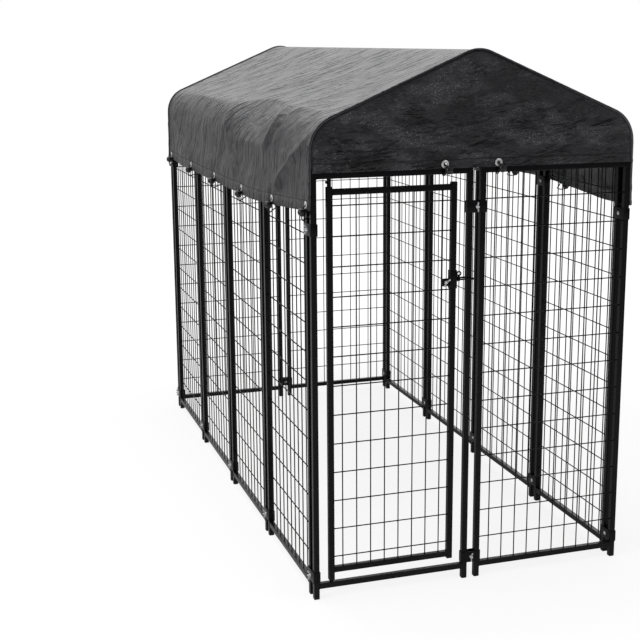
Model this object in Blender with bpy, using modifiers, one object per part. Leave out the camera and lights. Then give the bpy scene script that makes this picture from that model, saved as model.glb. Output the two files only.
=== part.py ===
"""Modular outdoor cage: welded wire panels, a gate with a fork latch, a tube roof and a tarp."""

import math

import bmesh
import bpy
from mathutils import Matrix, Vector

# Sizes are metres. X runs across the front, Y from front to back, Z up from the floor.
# Square tube and welded mesh
TUBE = 0.020              # square tube of panels and gate, across its flats
TUBE_WALL = 0.0012
TUBE_EDGE = 0.0022        # eased corner of the square tube
WIRE = 0.0040             # thickness of a mesh wire
WIRE_STEP_ACROSS = 0.0508  # between upright wires
WIRE_STEP_UP = 0.1016     # between level wires
WIRE_EDGE_ACROSS = 0.030  # least space from an upright wire to the tube beside it
WIRE_EDGE_UP = 0.060      # least space from a level wire to a rail
GAP = 0.0003              # clearance between pieces that touch

# Panels and how they stand
PANEL_WIDTH = 0.572
PANEL_HEIGHT = 1.475
PANEL_GAP = 0.028         # between the posts of two neighbours
LEG = 0.038               # post below the bottom rail
FOOT = 0.006              # closed foot at the end of a post
PANELS_LONG = 4

# Two-half clamps that join the posts
CLAMP_PLATE = 0.0025
CLAMP_HEIGHT = 0.040
CLAMP_SLOT = 0.0012       # between the edges of the two halves
CLAMP_SPACE = 0.0025      # between a clamp and the wire or rail next to it
CLAMP_BOLT = 0.006
CLAMP_BOLT_REACH = 0.016  # bolt end beyond the outer face of the posts
CLAMP_WINGS = 0.034       # span of the wing nut on the outside
CLAMP_WING_ROOT = 0.0045  # wings begin this far from the bolt's axis
CLAMP_WING_ROOM = 0.002   # the wings end short of the bolt, for the cloth over them
CLAMP_HEAD = 0.014
CLAMP_HEAD_DEPTH = 0.0035

# Gate leaf and its pivots
GATE_HINGE_GAP = 0.035    # leaf to the post on the hinge side
GATE_LATCH_GAP = 0.038    # leaf to the post on the latch side
GATE_RAIL_GAP = 0.034     # leaf's bars to the rails of its surround
STILE_OVERRUN = 0.007     # stile ends beyond the bars
HINGE_FOOT_GAP = 0.008    # hinge stile to the bottom rail
STILE_END = 0.004         # closed ends of the stiles
PIN = 0.010
PIN_SIDES = 12            # flats round a pin and round its bore
PIN_COLLAR = 0.014
PIN_IN_RAIL = 0.012
PIN_IN_STILE = 0.022

# Fork latch
LATCH_PLATE = 0.0025
LATCH_HEIGHT = 0.062
LATCH_EAR = 0.024         # ear with the bolt
LATCH_FORK_EAR = 0.014    # ear with the fork
LATCH_BOLT_TAB = 0.026    # height of the ear with the bolt
LATCH_FORK_TAB = 0.017    # height of the ear with the fork
LATCH_BOLT = 0.006
LATCH_BOLT_HEAD = 0.010
LATCH_BOLT_HEAD_DEPTH = 0.004
LATCH_BOLT_DROP = 0.010   # bolt below the middle of the latch
WING_NUT_HUB = 0.012
WING_NUT_DEPTH = 0.006
WING_SPAN = 0.030
WING_REACH = 0.011
WING_PLATE = 0.002
FORK_ROD = 0.006
FORK_SIDE_SPACE = 0.0035  # between a prong and the post's face
FORK_BEND = 0.008
FORK_BALL = 0.009
FORK_OVERRUN = 0.004      # ball end beyond the post
LOCK_EYE = 0.019          # padlock eye, outside diameter
LOCK_EYE_WIRE = 0.005

# Roof frame
ROOF_TUBE = 0.019
ROOF_WALL = 0.0012
ROOF_PITCH = math.radians(23.1)
EAVE_RISE = 0.1387        # corner of the roof line above the panels
EAVE_BEND = 0.105
RIDGE_BEND = 0.100
BEND_STEPS = 4
POST_PLUG = 0.045         # rafter foot inside its post
RAFTER_PLUG = 0.030       # ridge fitting inside a rafter
FITTING_SHOULDER = 0.010
PLUG_PLAY = 0.0004

# Tarp
CLOTH = 0.0016
FLAP_DROP = 0.165         # side flap below the top of the panels
GABLE_DROP = 0.001        # front and back hems below the top of the panels
CLOTH_SAG = 0.016         # slopes between two trusses
EAVE_SAG = 0.007
FLAP_WAVE = 0.005         # flap bulging between its bungees
BUNGEES_SIDE = 6
BUNGEE_INSET = 0.042      # first bungee from the corner
BAY_STEPS = 7             # cloth rows between two trusses
SLOPE_STEPS = 4
GABLE_ROWS = 3

# Sizes that follow from those above
module = PANEL_WIDTH + PANEL_GAP
width = PANEL_WIDTH + module
length = PANELS_LONG * module + PANEL_GAP + 2 * TUBE
half_tube = TUBE / 2
bore = TUBE - 2 * TUBE_WALL
half_joint = TUBE + PANEL_GAP / 2
latch_reach = WING_REACH + WING_NUT_DEPTH - half_tube + LATCH_PLATE + CLAMP_SLOT / 2
front_reach = max(CLAMP_BOLT_REACH, latch_reach, FORK_SIDE_SPACE + FORK_ROD / 2 + FORK_BALL / 2)
front = -length / 2 + (front_reach - CLAMP_BOLT_REACH) / 2
back = front + length
front_mid = front + half_tube
back_mid = back - half_tube
post_x = width / 2 - half_tube
rail_top = LEG + TUBE
top_under = PANEL_HEIGHT - TUBE
layer = (WIRE + GAP) / 2


def wire_places(low, high, step, edge):
    """Evenly stepped places, centred between low and high, with edge kept free at both ends."""
    count = int((high - low - 2 * edge) / step) + 1
    first = (low + high - (count - 1) * step) / 2
    return [first + index * step for index in range(count)]


levels = wire_places(rail_top, top_under, WIRE_STEP_UP, WIRE_EDGE_UP)

# Gate, measured from the middle of its surround
surround_inner = PANEL_WIDTH / 2 - TUBE
gate_left = -surround_inner + GATE_HINGE_GAP
gate_right = surround_inner - GATE_LATCH_GAP
hinge_x = gate_left + half_tube
stile_x = gate_right - half_tube
gate_low = rail_top + GATE_RAIL_GAP
gate_high = top_under - GATE_RAIL_GAP
stile_top = gate_high + STILE_OVERRUN
stile_low = gate_low - STILE_OVERRUN
hinge_low = rail_top + HINGE_FOOT_GAP
pin_room = (PIN / 2 + GAP) / math.cos(math.pi / PIN_SIDES)  # the bore's flats clear the pin

# Latch, measured from the hinge axis
latch_x = stile_x - hinge_x
latch_z = levels[-4] + WIRE + LATCH_HEIGHT / 2
fork_x = latch_x + half_tube + GAP + LATCH_PLATE + FORK_ROD / 2 + LATCH_FORK_EAR / 4
fork_tip = surround_inner + TUBE + FORK_OVERRUN - FORK_BALL / 2 - hinge_x - fork_x
bolt_x = latch_x - half_tube - GAP - LATCH_PLATE - LATCH_EAR / 2

# Roof line, the middle of the tubes
roof_radius = ROOF_TUBE / 2
eave_z = PANEL_HEIGHT + EAVE_RISE
ridge_corner_z = eave_z + post_x * math.tan(ROOF_PITCH)
ridge_z = ridge_corner_z - RIDGE_BEND * (1 / math.cos(ROOF_PITCH) - 1)
slope = Vector((-math.cos(ROOF_PITCH), 0, math.sin(ROOF_PITCH)))  # right eave up to the ridge
down = Vector((slope.x, 0, -slope.z))  # ridge down to the left eave
ridge_run = RIDGE_BEND * math.tan(ROOF_PITCH) + FITTING_SHOULDER
middle_post = front + TUBE + PANEL_GAP + (PANELS_LONG // 2) * module - PANEL_GAP - half_tube
truss_places = (("front", front_mid), ("middle", middle_post), ("back", back_mid))


# Scene and helpers
for old in list(bpy.data.objects):
    bpy.data.objects.remove(old, do_unlink=True)

parts = bpy.data.collections.new("modular_outdoor_cage")
cutters = bpy.data.collections.new("cutters")
bpy.context.scene.collection.children.link(parts)
bpy.context.scene.collection.children.link(cutters)


def make_material(name, colour, roughness, metallic):
    material = bpy.data.materials.new(name)
    material.use_nodes = True
    shader = material.node_tree.nodes["Principled BSDF"]
    shader.inputs["Base Color"].default_value = (*colour, 1)
    shader.inputs["Roughness"].default_value = roughness
    shader.inputs["Metallic"].default_value = metallic
    return material


powder_coat = make_material("black_powder_coat", (0.018, 0.018, 0.020), 0.42, 0.0)
clamp_coat = make_material("clamp_coat", (0.016, 0.016, 0.017), 0.38, 0.0)
latch_coat = make_material("latch_coat", (0.014, 0.014, 0.015), 0.36, 0.0)
roof_coat = make_material("roof_frame_coat", (0.020, 0.020, 0.021), 0.45, 0.0)
zinc = make_material("zinc_plate", (0.62, 0.63, 0.65), 0.28, 1.0)
tarp_cloth = make_material("charcoal_tarp", (0.035, 0.036, 0.040), 0.62, 0.0)


def make_tool(name, bm):
    """A shape kept among the cutters, out of the render."""
    mesh = bpy.data.meshes.new(name)
    bm.to_mesh(mesh)
    bm.free()
    tool = bpy.data.objects.new(name, mesh)
    tool.hide_render = True
    tool.display_type = "WIRE"
    cutters.objects.link(tool)
    return tool


def boxes(name, places, edge=0.0):
    """Boxes given as (middle, size); edge eases the four long edges of each."""
    bm = bmesh.new()
    for middle, size in places:
        made = bmesh.ops.create_cube(bm, size=1, matrix=Matrix.LocRotScale(middle, None, size))
        if edge:
            along = max(range(3), key=lambda axis: size[axis])
            lines = {line for vert in made["verts"] for line in vert.link_edges}
            lines = [e for e in lines if abs((e.verts[0].co - e.verts[1].co)[along]) > size[along] / 2]
            bmesh.ops.bevel(bm, geom=lines, offset=edge, segments=1, affect="EDGES")
    return make_tool(name, bm)


def rod(name, start, end, radius, sides=8, end_radius=None):
    """A straight round bar, or a cone, between two points."""
    start, end = Vector(start), Vector(end)
    run = end - start
    turn = run.to_track_quat("Z", "Y")
    bm = bmesh.new()
    bmesh.ops.create_cone(
        bm,
        cap_ends=True,
        segments=sides,
        radius1=radius,
        radius2=radius if end_radius is None else end_radius,
        depth=run.length,
        matrix=Matrix.LocRotScale((start + end) / 2, turn, None),
    )
    return make_tool(name, bm)


def ball(name, middle, radius):
    bm = bmesh.new()
    bmesh.ops.create_uvsphere(
        bm, u_segments=8, v_segments=5, radius=radius, matrix=Matrix.Translation(middle)
    )
    return make_tool(name, bm)


def strip(name, path, height, plate):
    """Sheet metal bent along path in plan, its far side plate away, centred on Z."""
    bm = bmesh.new()
    low = [bm.verts.new((x, y, -height / 2)) for x, y in path]
    high = [bm.verts.new((x, y, height / 2)) for x, y in path]
    for index in range(len(path) - 1):
        bm.faces.new((low[index], low[index + 1], high[index + 1], high[index]))
    tool = make_tool(name, bm)
    wall = tool.modifiers.new("wall", "SOLIDIFY")
    wall.thickness = plate
    wall.offset = 1
    wall.use_even_offset = True
    return freeze(tool)


def turned(name, profile, sides=12):
    """A profile of (radius, z), top to bottom, spun round Z."""
    bm = bmesh.new()
    verts = [bm.verts.new((radius, 0, z)) for radius, z in profile]
    for upper, lower in zip(verts, verts[1:]):
        bm.edges.new((upper, lower))
    tool = make_tool(name, bm)
    spin = tool.modifiers.new("spin", "SCREW")
    spin.steps = sides
    spin.render_steps = sides
    spin.use_merge_vertices = True
    spin.merge_threshold = 0.00001
    return freeze(tool)


def bent_rod(name, points, sides_level=2):
    """A round bar along (place, radius) points, with its caps welded on."""
    curve = bpy.data.curves.new(name, "CURVE")
    curve.dimensions = "3D"
    curve.bevel_depth = 1.0
    curve.bevel_resolution = sides_level
    curve.use_fill_caps = True
    line = curve.splines.new("POLY")
    line.points.add(len(points) - 1)
    for point, (place, radius) in zip(line.points, points):
        point.co = (*place, 1)
        point.radius = radius
    tool = bpy.data.objects.new(name, curve)
    tool.hide_render = True
    tool.display_type = "WIRE"
    cutters.objects.link(tool)
    return freeze(tool)


def freeze(tool):
    """The tool as a plain mesh object, its modifiers applied and its caps welded."""
    bpy.context.view_layer.update()
    seen = tool.evaluated_get(bpy.context.evaluated_depsgraph_get())
    mesh = bpy.data.meshes.new_from_object(seen)
    bm = bmesh.new()
    bm.from_mesh(mesh)
    bmesh.ops.remove_doubles(bm, verts=bm.verts, dist=0.00001)
    bmesh.ops.recalc_face_normals(bm, faces=bm.faces)
    name = tool.name
    bpy.data.objects.remove(tool, do_unlink=True)
    bpy.data.meshes.remove(mesh)
    return make_tool(name, bm)


def fused(base, added=(), cut=()):
    """One mesh: base with the added tools joined on and the cut tools taken out."""
    for kind, tools in (("UNION", added), ("DIFFERENCE", cut)):
        for tool in tools:
            step = base.modifiers.new(tool.name, "BOOLEAN")
            step.solver = "EXACT"
            step.operation = kind
            step.object = tool
    result = freeze(base)
    for tool in (*added, *cut):
        bpy.data.objects.remove(tool, do_unlink=True)
    mesh = result.data
    bpy.data.objects.remove(result, do_unlink=True)
    return mesh


def standing(name, mesh):
    """The mesh as an object again, so that more can be fused onto it."""
    tool = bpy.data.objects.new(name, mesh)
    cutters.objects.link(tool)
    return tool


def place(name, mesh, material, at=(0, 0, 0), turn=0.0, parent=None):
    """Puts one named piece in the model; copies share their mesh."""
    if not mesh.materials:
        mesh.materials.append(material)
    piece = bpy.data.objects.new(name, mesh)
    piece.location = at
    piece.rotation_euler = (0, 0, turn)
    piece.parent = parent
    parts.objects.link(piece)
    return piece


def smooth(mesh, angle=40):
    mesh.shade_smooth()
    mesh.set_sharp_from_angle(angle=math.radians(angle))
    return mesh


# Panels
def welded_frame(name, posts, rails, uprights, level_wires, bore_ends):
    """Posts (x, low, high) and rails (low z) of square tube, filled with two layers of wire."""
    left, right = posts[0][0], posts[1][0]
    rail_size = (right - left, TUBE, TUBE)
    post_boxes = [((x, 0, (low + high) / 2), (TUBE, TUBE, high - low)) for x, low, high in posts]
    rail_boxes = [(((left + right) / 2, 0, z + half_tube), rail_size) for z in rails]
    bites = TUBE_WALL
    inner = right - left - TUBE + bites
    low_wire = rails[0] + TUBE - bites / 2
    high_wire = rails[1] + bites / 2
    upright_size = (WIRE, WIRE, high_wire - low_wire)
    wires = [((x, -layer, (low_wire + high_wire) / 2), upright_size) for x in uprights]
    wires += [(((left + right) / 2, layer, z), (inner, WIRE, WIRE)) for z in level_wires]
    post_bores = []
    for (x, low, high), (end_low, end_high) in zip(posts, bore_ends):
        post_bores.append(((x, 0, (end_low + end_high) / 2), (bore, bore, end_high - end_low)))
    bore_size = (right - left, bore, bore)
    rail_bores = [(((left + right) / 2, 0, z + half_tube), bore_size) for z in rails]
    added = [boxes(name + "_rails", rail_boxes, TUBE_EDGE)]
    if wires:
        added.append(boxes(name + "_wires", wires))
    return boxes(name + "_posts", post_boxes, TUBE_EDGE), added, [
        boxes(name + "_post_bores", post_bores),
        boxes(name + "_rail_bores", rail_bores),
    ]


def panel_frame(name, uprights, level_wires):
    middle = PANEL_WIDTH / 2 - half_tube
    posts = ((-middle, 0, PANEL_HEIGHT), (middle, 0, PANEL_HEIGHT))
    open_end = (FOOT, PANEL_HEIGHT + TUBE)
    return welded_frame(name, posts, (LEG, top_under), uprights, level_wires, (open_end, open_end))


def make_panel_mesh():
    inner = PANEL_WIDTH / 2 - TUBE
    uprights = wire_places(-inner, inner, WIRE_STEP_ACROSS, WIRE_EDGE_ACROSS)
    base, added, cut = panel_frame("panel", uprights, levels)
    return fused(base, added, cut)


def make_surround_mesh():
    base, added, cut = panel_frame("surround", (), ())
    for z in (rail_top, top_under):
        cut.append(rod("pin_bore", (hinge_x, 0, z - PIN), (hinge_x, 0, z + PIN), pin_room, PIN_SIDES))
    return fused(base, added, cut)


first_side = front + TUBE + PANEL_GAP + PANEL_WIDTH / 2
panel_mesh = make_panel_mesh()
place("gate_surround", make_surround_mesh(), powder_coat, (-module / 2, front_mid, 0))
place("front_panel", panel_mesh, powder_coat, (module / 2, front_mid, 0))
place("back_panel_1", panel_mesh, powder_coat, (module / 2, back_mid, 0), math.pi)
place("back_panel_2", panel_mesh, powder_coat, (-module / 2, back_mid, 0), math.pi)
for number in range(PANELS_LONG):
    panel_y = first_side + number * module
    place(f"left_panel_{number + 1}", panel_mesh, powder_coat, (-post_x, panel_y, 0), -math.pi / 2)
    place(f"right_panel_{number + 1}", panel_mesh, powder_coat, (post_x, panel_y, 0), math.pi / 2)


# Clamps: local X runs from post to post, -Y faces outwards
def make_clamp_mesh():
    side = half_joint + GAP
    face = half_tube + GAP
    lip = CLAMP_SLOT / 2
    outer_path = [(-side, -lip), (-side, -face), (side, -face), (side, -lip)]
    inner_path = [(side, lip), (side, face), (-side, face), (-side, lip)]
    outer = strip("outer_half", outer_path, CLAMP_HEIGHT, CLAMP_PLATE)
    inner = strip("inner_half", inner_path, CLAMP_HEIGHT, CLAMP_PLATE)
    seat = face + CLAMP_PLATE
    bite = CLAMP_PLATE / 2
    reach = half_tube + CLAMP_BOLT_REACH - CLAMP_WING_ROOM
    hub_end = seat + WING_NUT_DEPTH
    shank = rod("shank", (0, -half_tube - CLAMP_BOLT_REACH, 0), (0, seat, 0), CLAMP_BOLT / 2, 6)
    hub = rod("hub", (0, -hub_end, 0), (0, bite - seat, 0), WING_NUT_HUB / 2, 8)
    wing_start = seat + WING_NUT_DEPTH / 3
    wing_size = (WING_PLATE, reach - wing_start, CLAMP_WINGS / 2 - CLAMP_WING_ROOT)
    wing_z = (CLAMP_WINGS / 2 + CLAMP_WING_ROOT) / 2
    wings = boxes("wings", [((0, -(reach + wing_start) / 2, sign * wing_z), wing_size) for sign in (-1, 1)])
    head_end = seat + CLAMP_HEAD_DEPTH
    head = rod("head", (0, seat - bite, 0), (0, head_end, 0), CLAMP_HEAD / 2, 8, CLAMP_HEAD / 4)
    return fused(outer, (inner, shank, hub, wings, head))


clamp_low_z = rail_top + CLAMP_SPACE + CLAMP_HEIGHT / 2
clamp_high_z = levels[-1] - WIRE / 2 - CLAMP_SPACE - CLAMP_HEIGHT / 2
corner_high_z = levels[-2] + WIRE / 2 + CLAMP_SPACE + CLAMP_HEIGHT / 2
clamp_mesh = make_clamp_mesh()


def add_clamps(name, x, y, turn, high_z):
    place(name + "_lower", clamp_mesh, clamp_coat, (x, y, clamp_low_z), turn)
    place(name + "_upper", clamp_mesh, clamp_coat, (x, y, high_z), turn)


add_clamps("front_clamp", 0, front_mid, 0, clamp_high_z)
add_clamps("back_clamp", 0, back_mid, math.pi, clamp_high_z)
for number in range(PANELS_LONG + 1):
    joint_y = front + TUBE + PANEL_GAP / 2 + number * module
    high_z = corner_high_z if number in (0, PANELS_LONG) else clamp_high_z
    add_clamps(f"left_clamp_{number + 1}", -post_x, joint_y, -math.pi / 2, high_z)
    add_clamps(f"right_clamp_{number + 1}", post_x, joint_y, math.pi / 2, high_z)


# Gate leaf, on an empty that stands on the hinge axis
def make_guide(name, at, parent=None):
    guide = bpy.data.objects.new(name, None)
    guide.location = at
    guide.parent = parent
    parts.objects.link(guide)
    return guide


gate_hinge = make_guide("gate_hinge_axis", (-module / 2 + hinge_x, front_mid, 0))


def make_leaf_mesh():
    uprights = wire_places(half_tube, latch_x - half_tube, WIRE_STEP_ACROSS, WIRE_EDGE_ACROSS)
    low, high = gate_low + TUBE, gate_high - TUBE
    gate_levels = [z for z in levels if low + 2 * WIRE < z < high - 2 * WIRE]
    posts = ((0, hinge_low, stile_top), (latch_x, stile_low, stile_top))
    bore_ends = [(post[1] + STILE_END, post[2] - STILE_END) for post in posts]
    rails = (gate_low, gate_high - TUBE)
    base, added, cut = welded_frame("leaf", posts, rails, uprights, gate_levels, bore_ends)
    for z in (hinge_low, stile_top):
        cut.append(rod("pin_bore", (0, 0, z - PIN), (0, 0, z + PIN), pin_room, PIN_SIDES))
    return fused(base, added, cut)


def make_pin_mesh(name, collar_low, collar_high, low_run, high_run):
    """A stepped pin: a collar between the two bores and a shank into each."""
    profile = (
        (0, collar_high + high_run),
        (PIN / 2, collar_high + high_run),
        (PIN / 2, collar_high),
        (PIN_COLLAR / 2, collar_high),
        (PIN_COLLAR / 2, collar_low),
        (PIN / 2, collar_low),
        (PIN / 2, collar_low - low_run),
        (0, collar_low - low_run),
    )
    return smooth(fused(turned(name, profile, PIN_SIDES)))


place("gate_leaf", make_leaf_mesh(), powder_coat, parent=gate_hinge)
pin_at = (-module / 2 + hinge_x, front_mid, 0)
upper_pin = make_pin_mesh("upper_pin", stile_top + GAP, top_under - GAP, PIN_IN_STILE, PIN_IN_RAIL)
lower_pin = make_pin_mesh("lower_pin", rail_top + GAP, hinge_low - GAP, PIN_IN_RAIL, PIN_IN_STILE)
place("hinge_pin_upper", upper_pin, latch_coat, pin_at)
place("hinge_pin_lower", lower_pin, latch_coat, pin_at)


# Fork latch: two bent plates round the latch stile, a bolt with a wing nut, and the fork
def latch_half(name, side):
    """One half of the latch body; side is -1 in front of the stile and 1 behind it."""
    lip = side * CLAMP_SLOT / 2
    face = side * (half_tube + GAP)
    left, right = latch_x - half_tube - GAP, latch_x + half_tube + GAP
    path = [(left - LATCH_PLATE - LATCH_EAR, lip), (left, lip), (left, face)]
    path += [(right, face), (right, lip), (right + LATCH_PLATE + LATCH_FORK_EAR, lip)]
    if side > 0:
        path.reverse()
    return strip(name, path, LATCH_HEIGHT, LATCH_PLATE)


def ear_trims():
    """What is cut from each ear above and below its tab."""
    body = half_tube + GAP + LATCH_PLATE
    top = LATCH_HEIGHT / 2
    ears = (
        (latch_x - body - LATCH_EAR, latch_x - body, -LATCH_BOLT_DROP, LATCH_BOLT_TAB),
        (latch_x + body, latch_x + body + LATCH_FORK_EAR, 0, LATCH_FORK_TAB),
    )
    cuts = []
    for left, right, middle, tab in ears:
        outer_left = left if left > latch_x else left - LATCH_PLATE
        outer_right = right if right < latch_x else right + LATCH_PLATE
        for low, high in ((middle + tab / 2, top + LATCH_PLATE), (-top - LATCH_PLATE, middle - tab / 2)):
            at = ((outer_left + outer_right) / 2, 0, (low + high) / 2)
            cuts.append((at, (outer_right - outer_left, TUBE, high - low)))
    return [boxes(f"ear_trim_{index}", [cut]) for index, cut in enumerate(cuts)]


def latch_bores():
    depth = TUBE
    z = -LATCH_BOLT_DROP
    return [
        rod("bolt_bore", (bolt_x, -depth, z), (bolt_x, depth, z), LATCH_BOLT / 2 + GAP),
        rod("fork_bore", (fork_x, -depth, 0), (fork_x, depth, 0), FORK_ROD / 2 + GAP),
    ]


def make_lock_eye():
    """Padlock eye of round wire, welded to the front half's right side."""
    middle_radius = (LOCK_EYE - LOCK_EYE_WIRE) / 2
    eye_x = latch_x + half_tube + 2 * GAP + middle_radius + LOCK_EYE_WIRE / 2
    eye_z = LATCH_HEIGHT / 2 - middle_radius - LOCK_EYE_WIRE
    eye_y = -half_tube + LOCK_EYE_WIRE / 2
    sides = 10
    bm = bmesh.new()
    profile = []
    for index in range(6):
        angle = 2 * math.pi * index / 6
        radius = middle_radius + LOCK_EYE_WIRE / 2 * math.cos(angle)
        profile.append(bm.verts.new((radius, LOCK_EYE_WIRE / 2 * math.sin(angle), 0)))
    lines = [bm.edges.new((profile[index], profile[(index + 1) % 6])) for index in range(6)]
    bmesh.ops.spin(
        bm, geom=profile + lines, axis=(0, 1, 0), cent=(0, 0, 0), angle=2 * math.pi, steps=sides,
        use_merge=True,
    )
    bmesh.ops.remove_doubles(bm, verts=bm.verts, dist=0.00001)
    bmesh.ops.recalc_face_normals(bm, faces=bm.faces)
    bmesh.ops.translate(bm, verts=bm.verts, vec=(eye_x, eye_y, eye_z))
    return make_tool("lock_eye", bm)


def make_wing_nut():
    start = -(CLAMP_SLOT / 2 + LATCH_PLATE + GAP)
    end = start - WING_NUT_DEPTH
    z = -LATCH_BOLT_DROP
    hub = rod("hub", (bolt_x, start, z), (bolt_x, end, z), WING_NUT_HUB / 2)
    wing_y = end + WING_NUT_DEPTH / 3 - WING_REACH / 2
    wings = boxes("wings", [((bolt_x, wing_y, z), (WING_PLATE, WING_REACH, WING_SPAN))])
    clear = LATCH_BOLT / 2 + GAP
    room = rod("room", (bolt_x, start + PIN, z), (bolt_x, end - 2 * WING_REACH, z), clear)
    notch_size = (2 * WING_PLATE, 2 * WING_REACH, WING_NUT_HUB - 2 * WING_PLATE)
    notch = boxes("notch", [((bolt_x, end - WING_REACH, z), notch_size)])
    return fused(hub, (wings,), (notch, room))


def make_latch_bolt():
    seat = CLAMP_SLOT / 2 + LATCH_PLATE + GAP
    end = -(seat + WING_NUT_DEPTH + WING_REACH / 3)
    z = -LATCH_BOLT_DROP
    head_end = seat + LATCH_BOLT_HEAD_DEPTH
    head = rod("head", (bolt_x, seat, z), (bolt_x, head_end, z), LATCH_BOLT_HEAD / math.sqrt(3), 6)
    shank = rod("shank", (bolt_x, end, z), (bolt_x, (seat + head_end) / 2, z), LATCH_BOLT / 2)
    return fused(head, (shank,))


def corner_arc(corner, before, after, radius, steps):
    """Points of a bend between two straight runs that would meet at corner."""
    before, after = before.normalized(), after.normalized()
    turn = before.angle(after)
    run = radius * math.tan(turn / 2)
    start = corner - before * run
    inward = (after - before * before.dot(after)).normalized()
    middle = start + inward * radius
    points = []
    for index in range(steps + 1):
        angle = turn * index / steps
        points.append(middle - inward * radius * math.cos(angle) + before * radius * math.sin(angle))
    return points


def make_fork_mesh():
    """A rod bent to a U in plan: its base turns in the ears, its prongs straddle the post."""
    side = half_tube + FORK_SIDE_SPACE + FORK_ROD / 2
    along, across = Vector((1, 0, 0)), Vector((0, 1, 0))
    line = [Vector((fork_tip, -side, 0))]
    line += corner_arc(Vector((0, -side, 0)), -along, across, FORK_BEND, 3)
    line += corner_arc(Vector((0, side, 0)), across, along, FORK_BEND, 3)
    line.append(Vector((fork_tip, side, 0)))
    bar = bent_rod("fork", [(point, FORK_ROD / 2) for point in line], 1)
    balls = [ball("ball", (fork_tip, y, 0), FORK_BALL / 2) for y in (-side, side)]
    return smooth(fused(bar, balls))


latch_at = (0, 0, latch_z)
front_plate = fused(latch_half("latch_front", -1), (), ear_trims() + latch_bores())
front_half = fused(standing("front_plate", front_plate), (make_lock_eye(),))
back_half = fused(latch_half("latch_back", 1), (), ear_trims() + latch_bores())
place("latch_body_front", front_half, latch_coat, latch_at, parent=gate_hinge)
place("latch_body_back", back_half, latch_coat, latch_at, parent=gate_hinge)
place("latch_bolt", make_latch_bolt(), zinc, latch_at, parent=gate_hinge)
place("latch_wing_nut", make_wing_nut(), zinc, latch_at, parent=gate_hinge)
fork_pivot = make_guide("fork_pivot_axis", (fork_x, 0, latch_z), gate_hinge)
place("latch_fork", make_fork_mesh(), latch_coat, parent=fork_pivot)


# Roof frame: trusses of two bent rafters and a ridge fitting, joined by two ridge poles
up = Vector((0, 0, 1))


def rafter_line(radius_in_post, radius, below, beyond):
    """Middle line of the right-hand rafter, foot first, with a reduced foot in the post."""
    shoulder = PANEL_HEIGHT + GAP
    foot = PANEL_HEIGHT - POST_PLUG
    line = [(Vector((post_x, 0, foot - below)), radius_in_post)]
    line.append((Vector((post_x, 0, shoulder)), radius_in_post))
    line.append((Vector((post_x, 0, shoulder + GAP)), radius))
    corner = Vector((post_x, 0, eave_z))
    line += [(point, radius) for point in corner_arc(corner, up, slope, EAVE_BEND, BEND_STEPS)]
    end = Vector((0, 0, ridge_corner_z)) - slope * (ridge_run - beyond)
    line.append((end, radius))
    return line


def make_rafter_mesh():
    in_post = bore / 2 - PLUG_PLAY
    outer = bent_rod("rafter", rafter_line(in_post, roof_radius, 0, 0))
    inner_line = rafter_line(in_post - ROOF_WALL, roof_radius - ROOF_WALL, TUBE, TUBE)
    inner_line[1] = (inner_line[1][0] + up * ROOF_WALL, inner_line[1][1])
    inner_line[2] = (inner_line[2][0] + up * 2 * ROOF_WALL, inner_line[2][1])
    return smooth(fused(outer, (), (bent_rod("rafter_bore", inner_line),)))


def make_fitting_mesh(name, stubs):
    """Bent ridge fitting that plugs into both rafters; stubs are the sides with a ridge pole."""
    plug = roof_radius - ROOF_WALL - PLUG_PLAY
    corner = Vector((0, 0, ridge_corner_z))
    far = ridge_run + RAFTER_PLUG
    near = ridge_run - GAP
    line = [(corner - slope * far, plug), (corner - slope * near, plug)]
    line.append((corner - slope * (near - GAP), roof_radius))
    line += [(point, roof_radius) for point in corner_arc(corner, slope, down, RIDGE_BEND, BEND_STEPS)]
    line.append((corner + down * (near - GAP), roof_radius))
    line += [(corner + down * near, plug), (corner + down * far, plug)]
    body = bent_rod(name, line)
    arms = []
    for side in stubs:
        reach = side * (roof_radius + RAFTER_PLUG)
        arms.append(rod("stub", (0, 0, ridge_z), (0, reach, ridge_z), plug))
    return smooth(fused(body, arms))


def make_pole_mesh(name, run):
    outer = rod(name, (0, 0, ridge_z), (0, run, ridge_z), roof_radius)
    inner = rod(name + "_bore", (0, -TUBE, ridge_z), (0, run + TUBE, ridge_z), roof_radius - ROOF_WALL)
    return smooth(fused(outer, (), (inner,)))


rafter_mesh = make_rafter_mesh()
end_fitting = make_fitting_mesh("end_fitting", (1,))
middle_fitting = make_fitting_mesh("middle_fitting", (-1, 1))
for truss, y in truss_places:
    place(f"{truss}_rafter_right", rafter_mesh, roof_coat, (0, y, 0))
    place(f"{truss}_rafter_left", rafter_mesh, roof_coat, (0, y, 0), math.pi)
place("ridge_fitting_front", end_fitting, roof_coat, (0, front_mid, 0))
place("ridge_fitting_middle", middle_fitting, roof_coat, (0, middle_post, 0))
place("ridge_fitting_back", end_fitting, roof_coat, (0, back_mid, 0), math.pi)
for (truss, y), (_, next_y) in zip(truss_places, truss_places[1:]):
    start = y + roof_radius + GAP
    run = next_y - roof_radius - GAP - start
    place(f"ridge_pole_{truss}", make_pole_mesh("pole", run), roof_coat, (0, start, 0))


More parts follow.
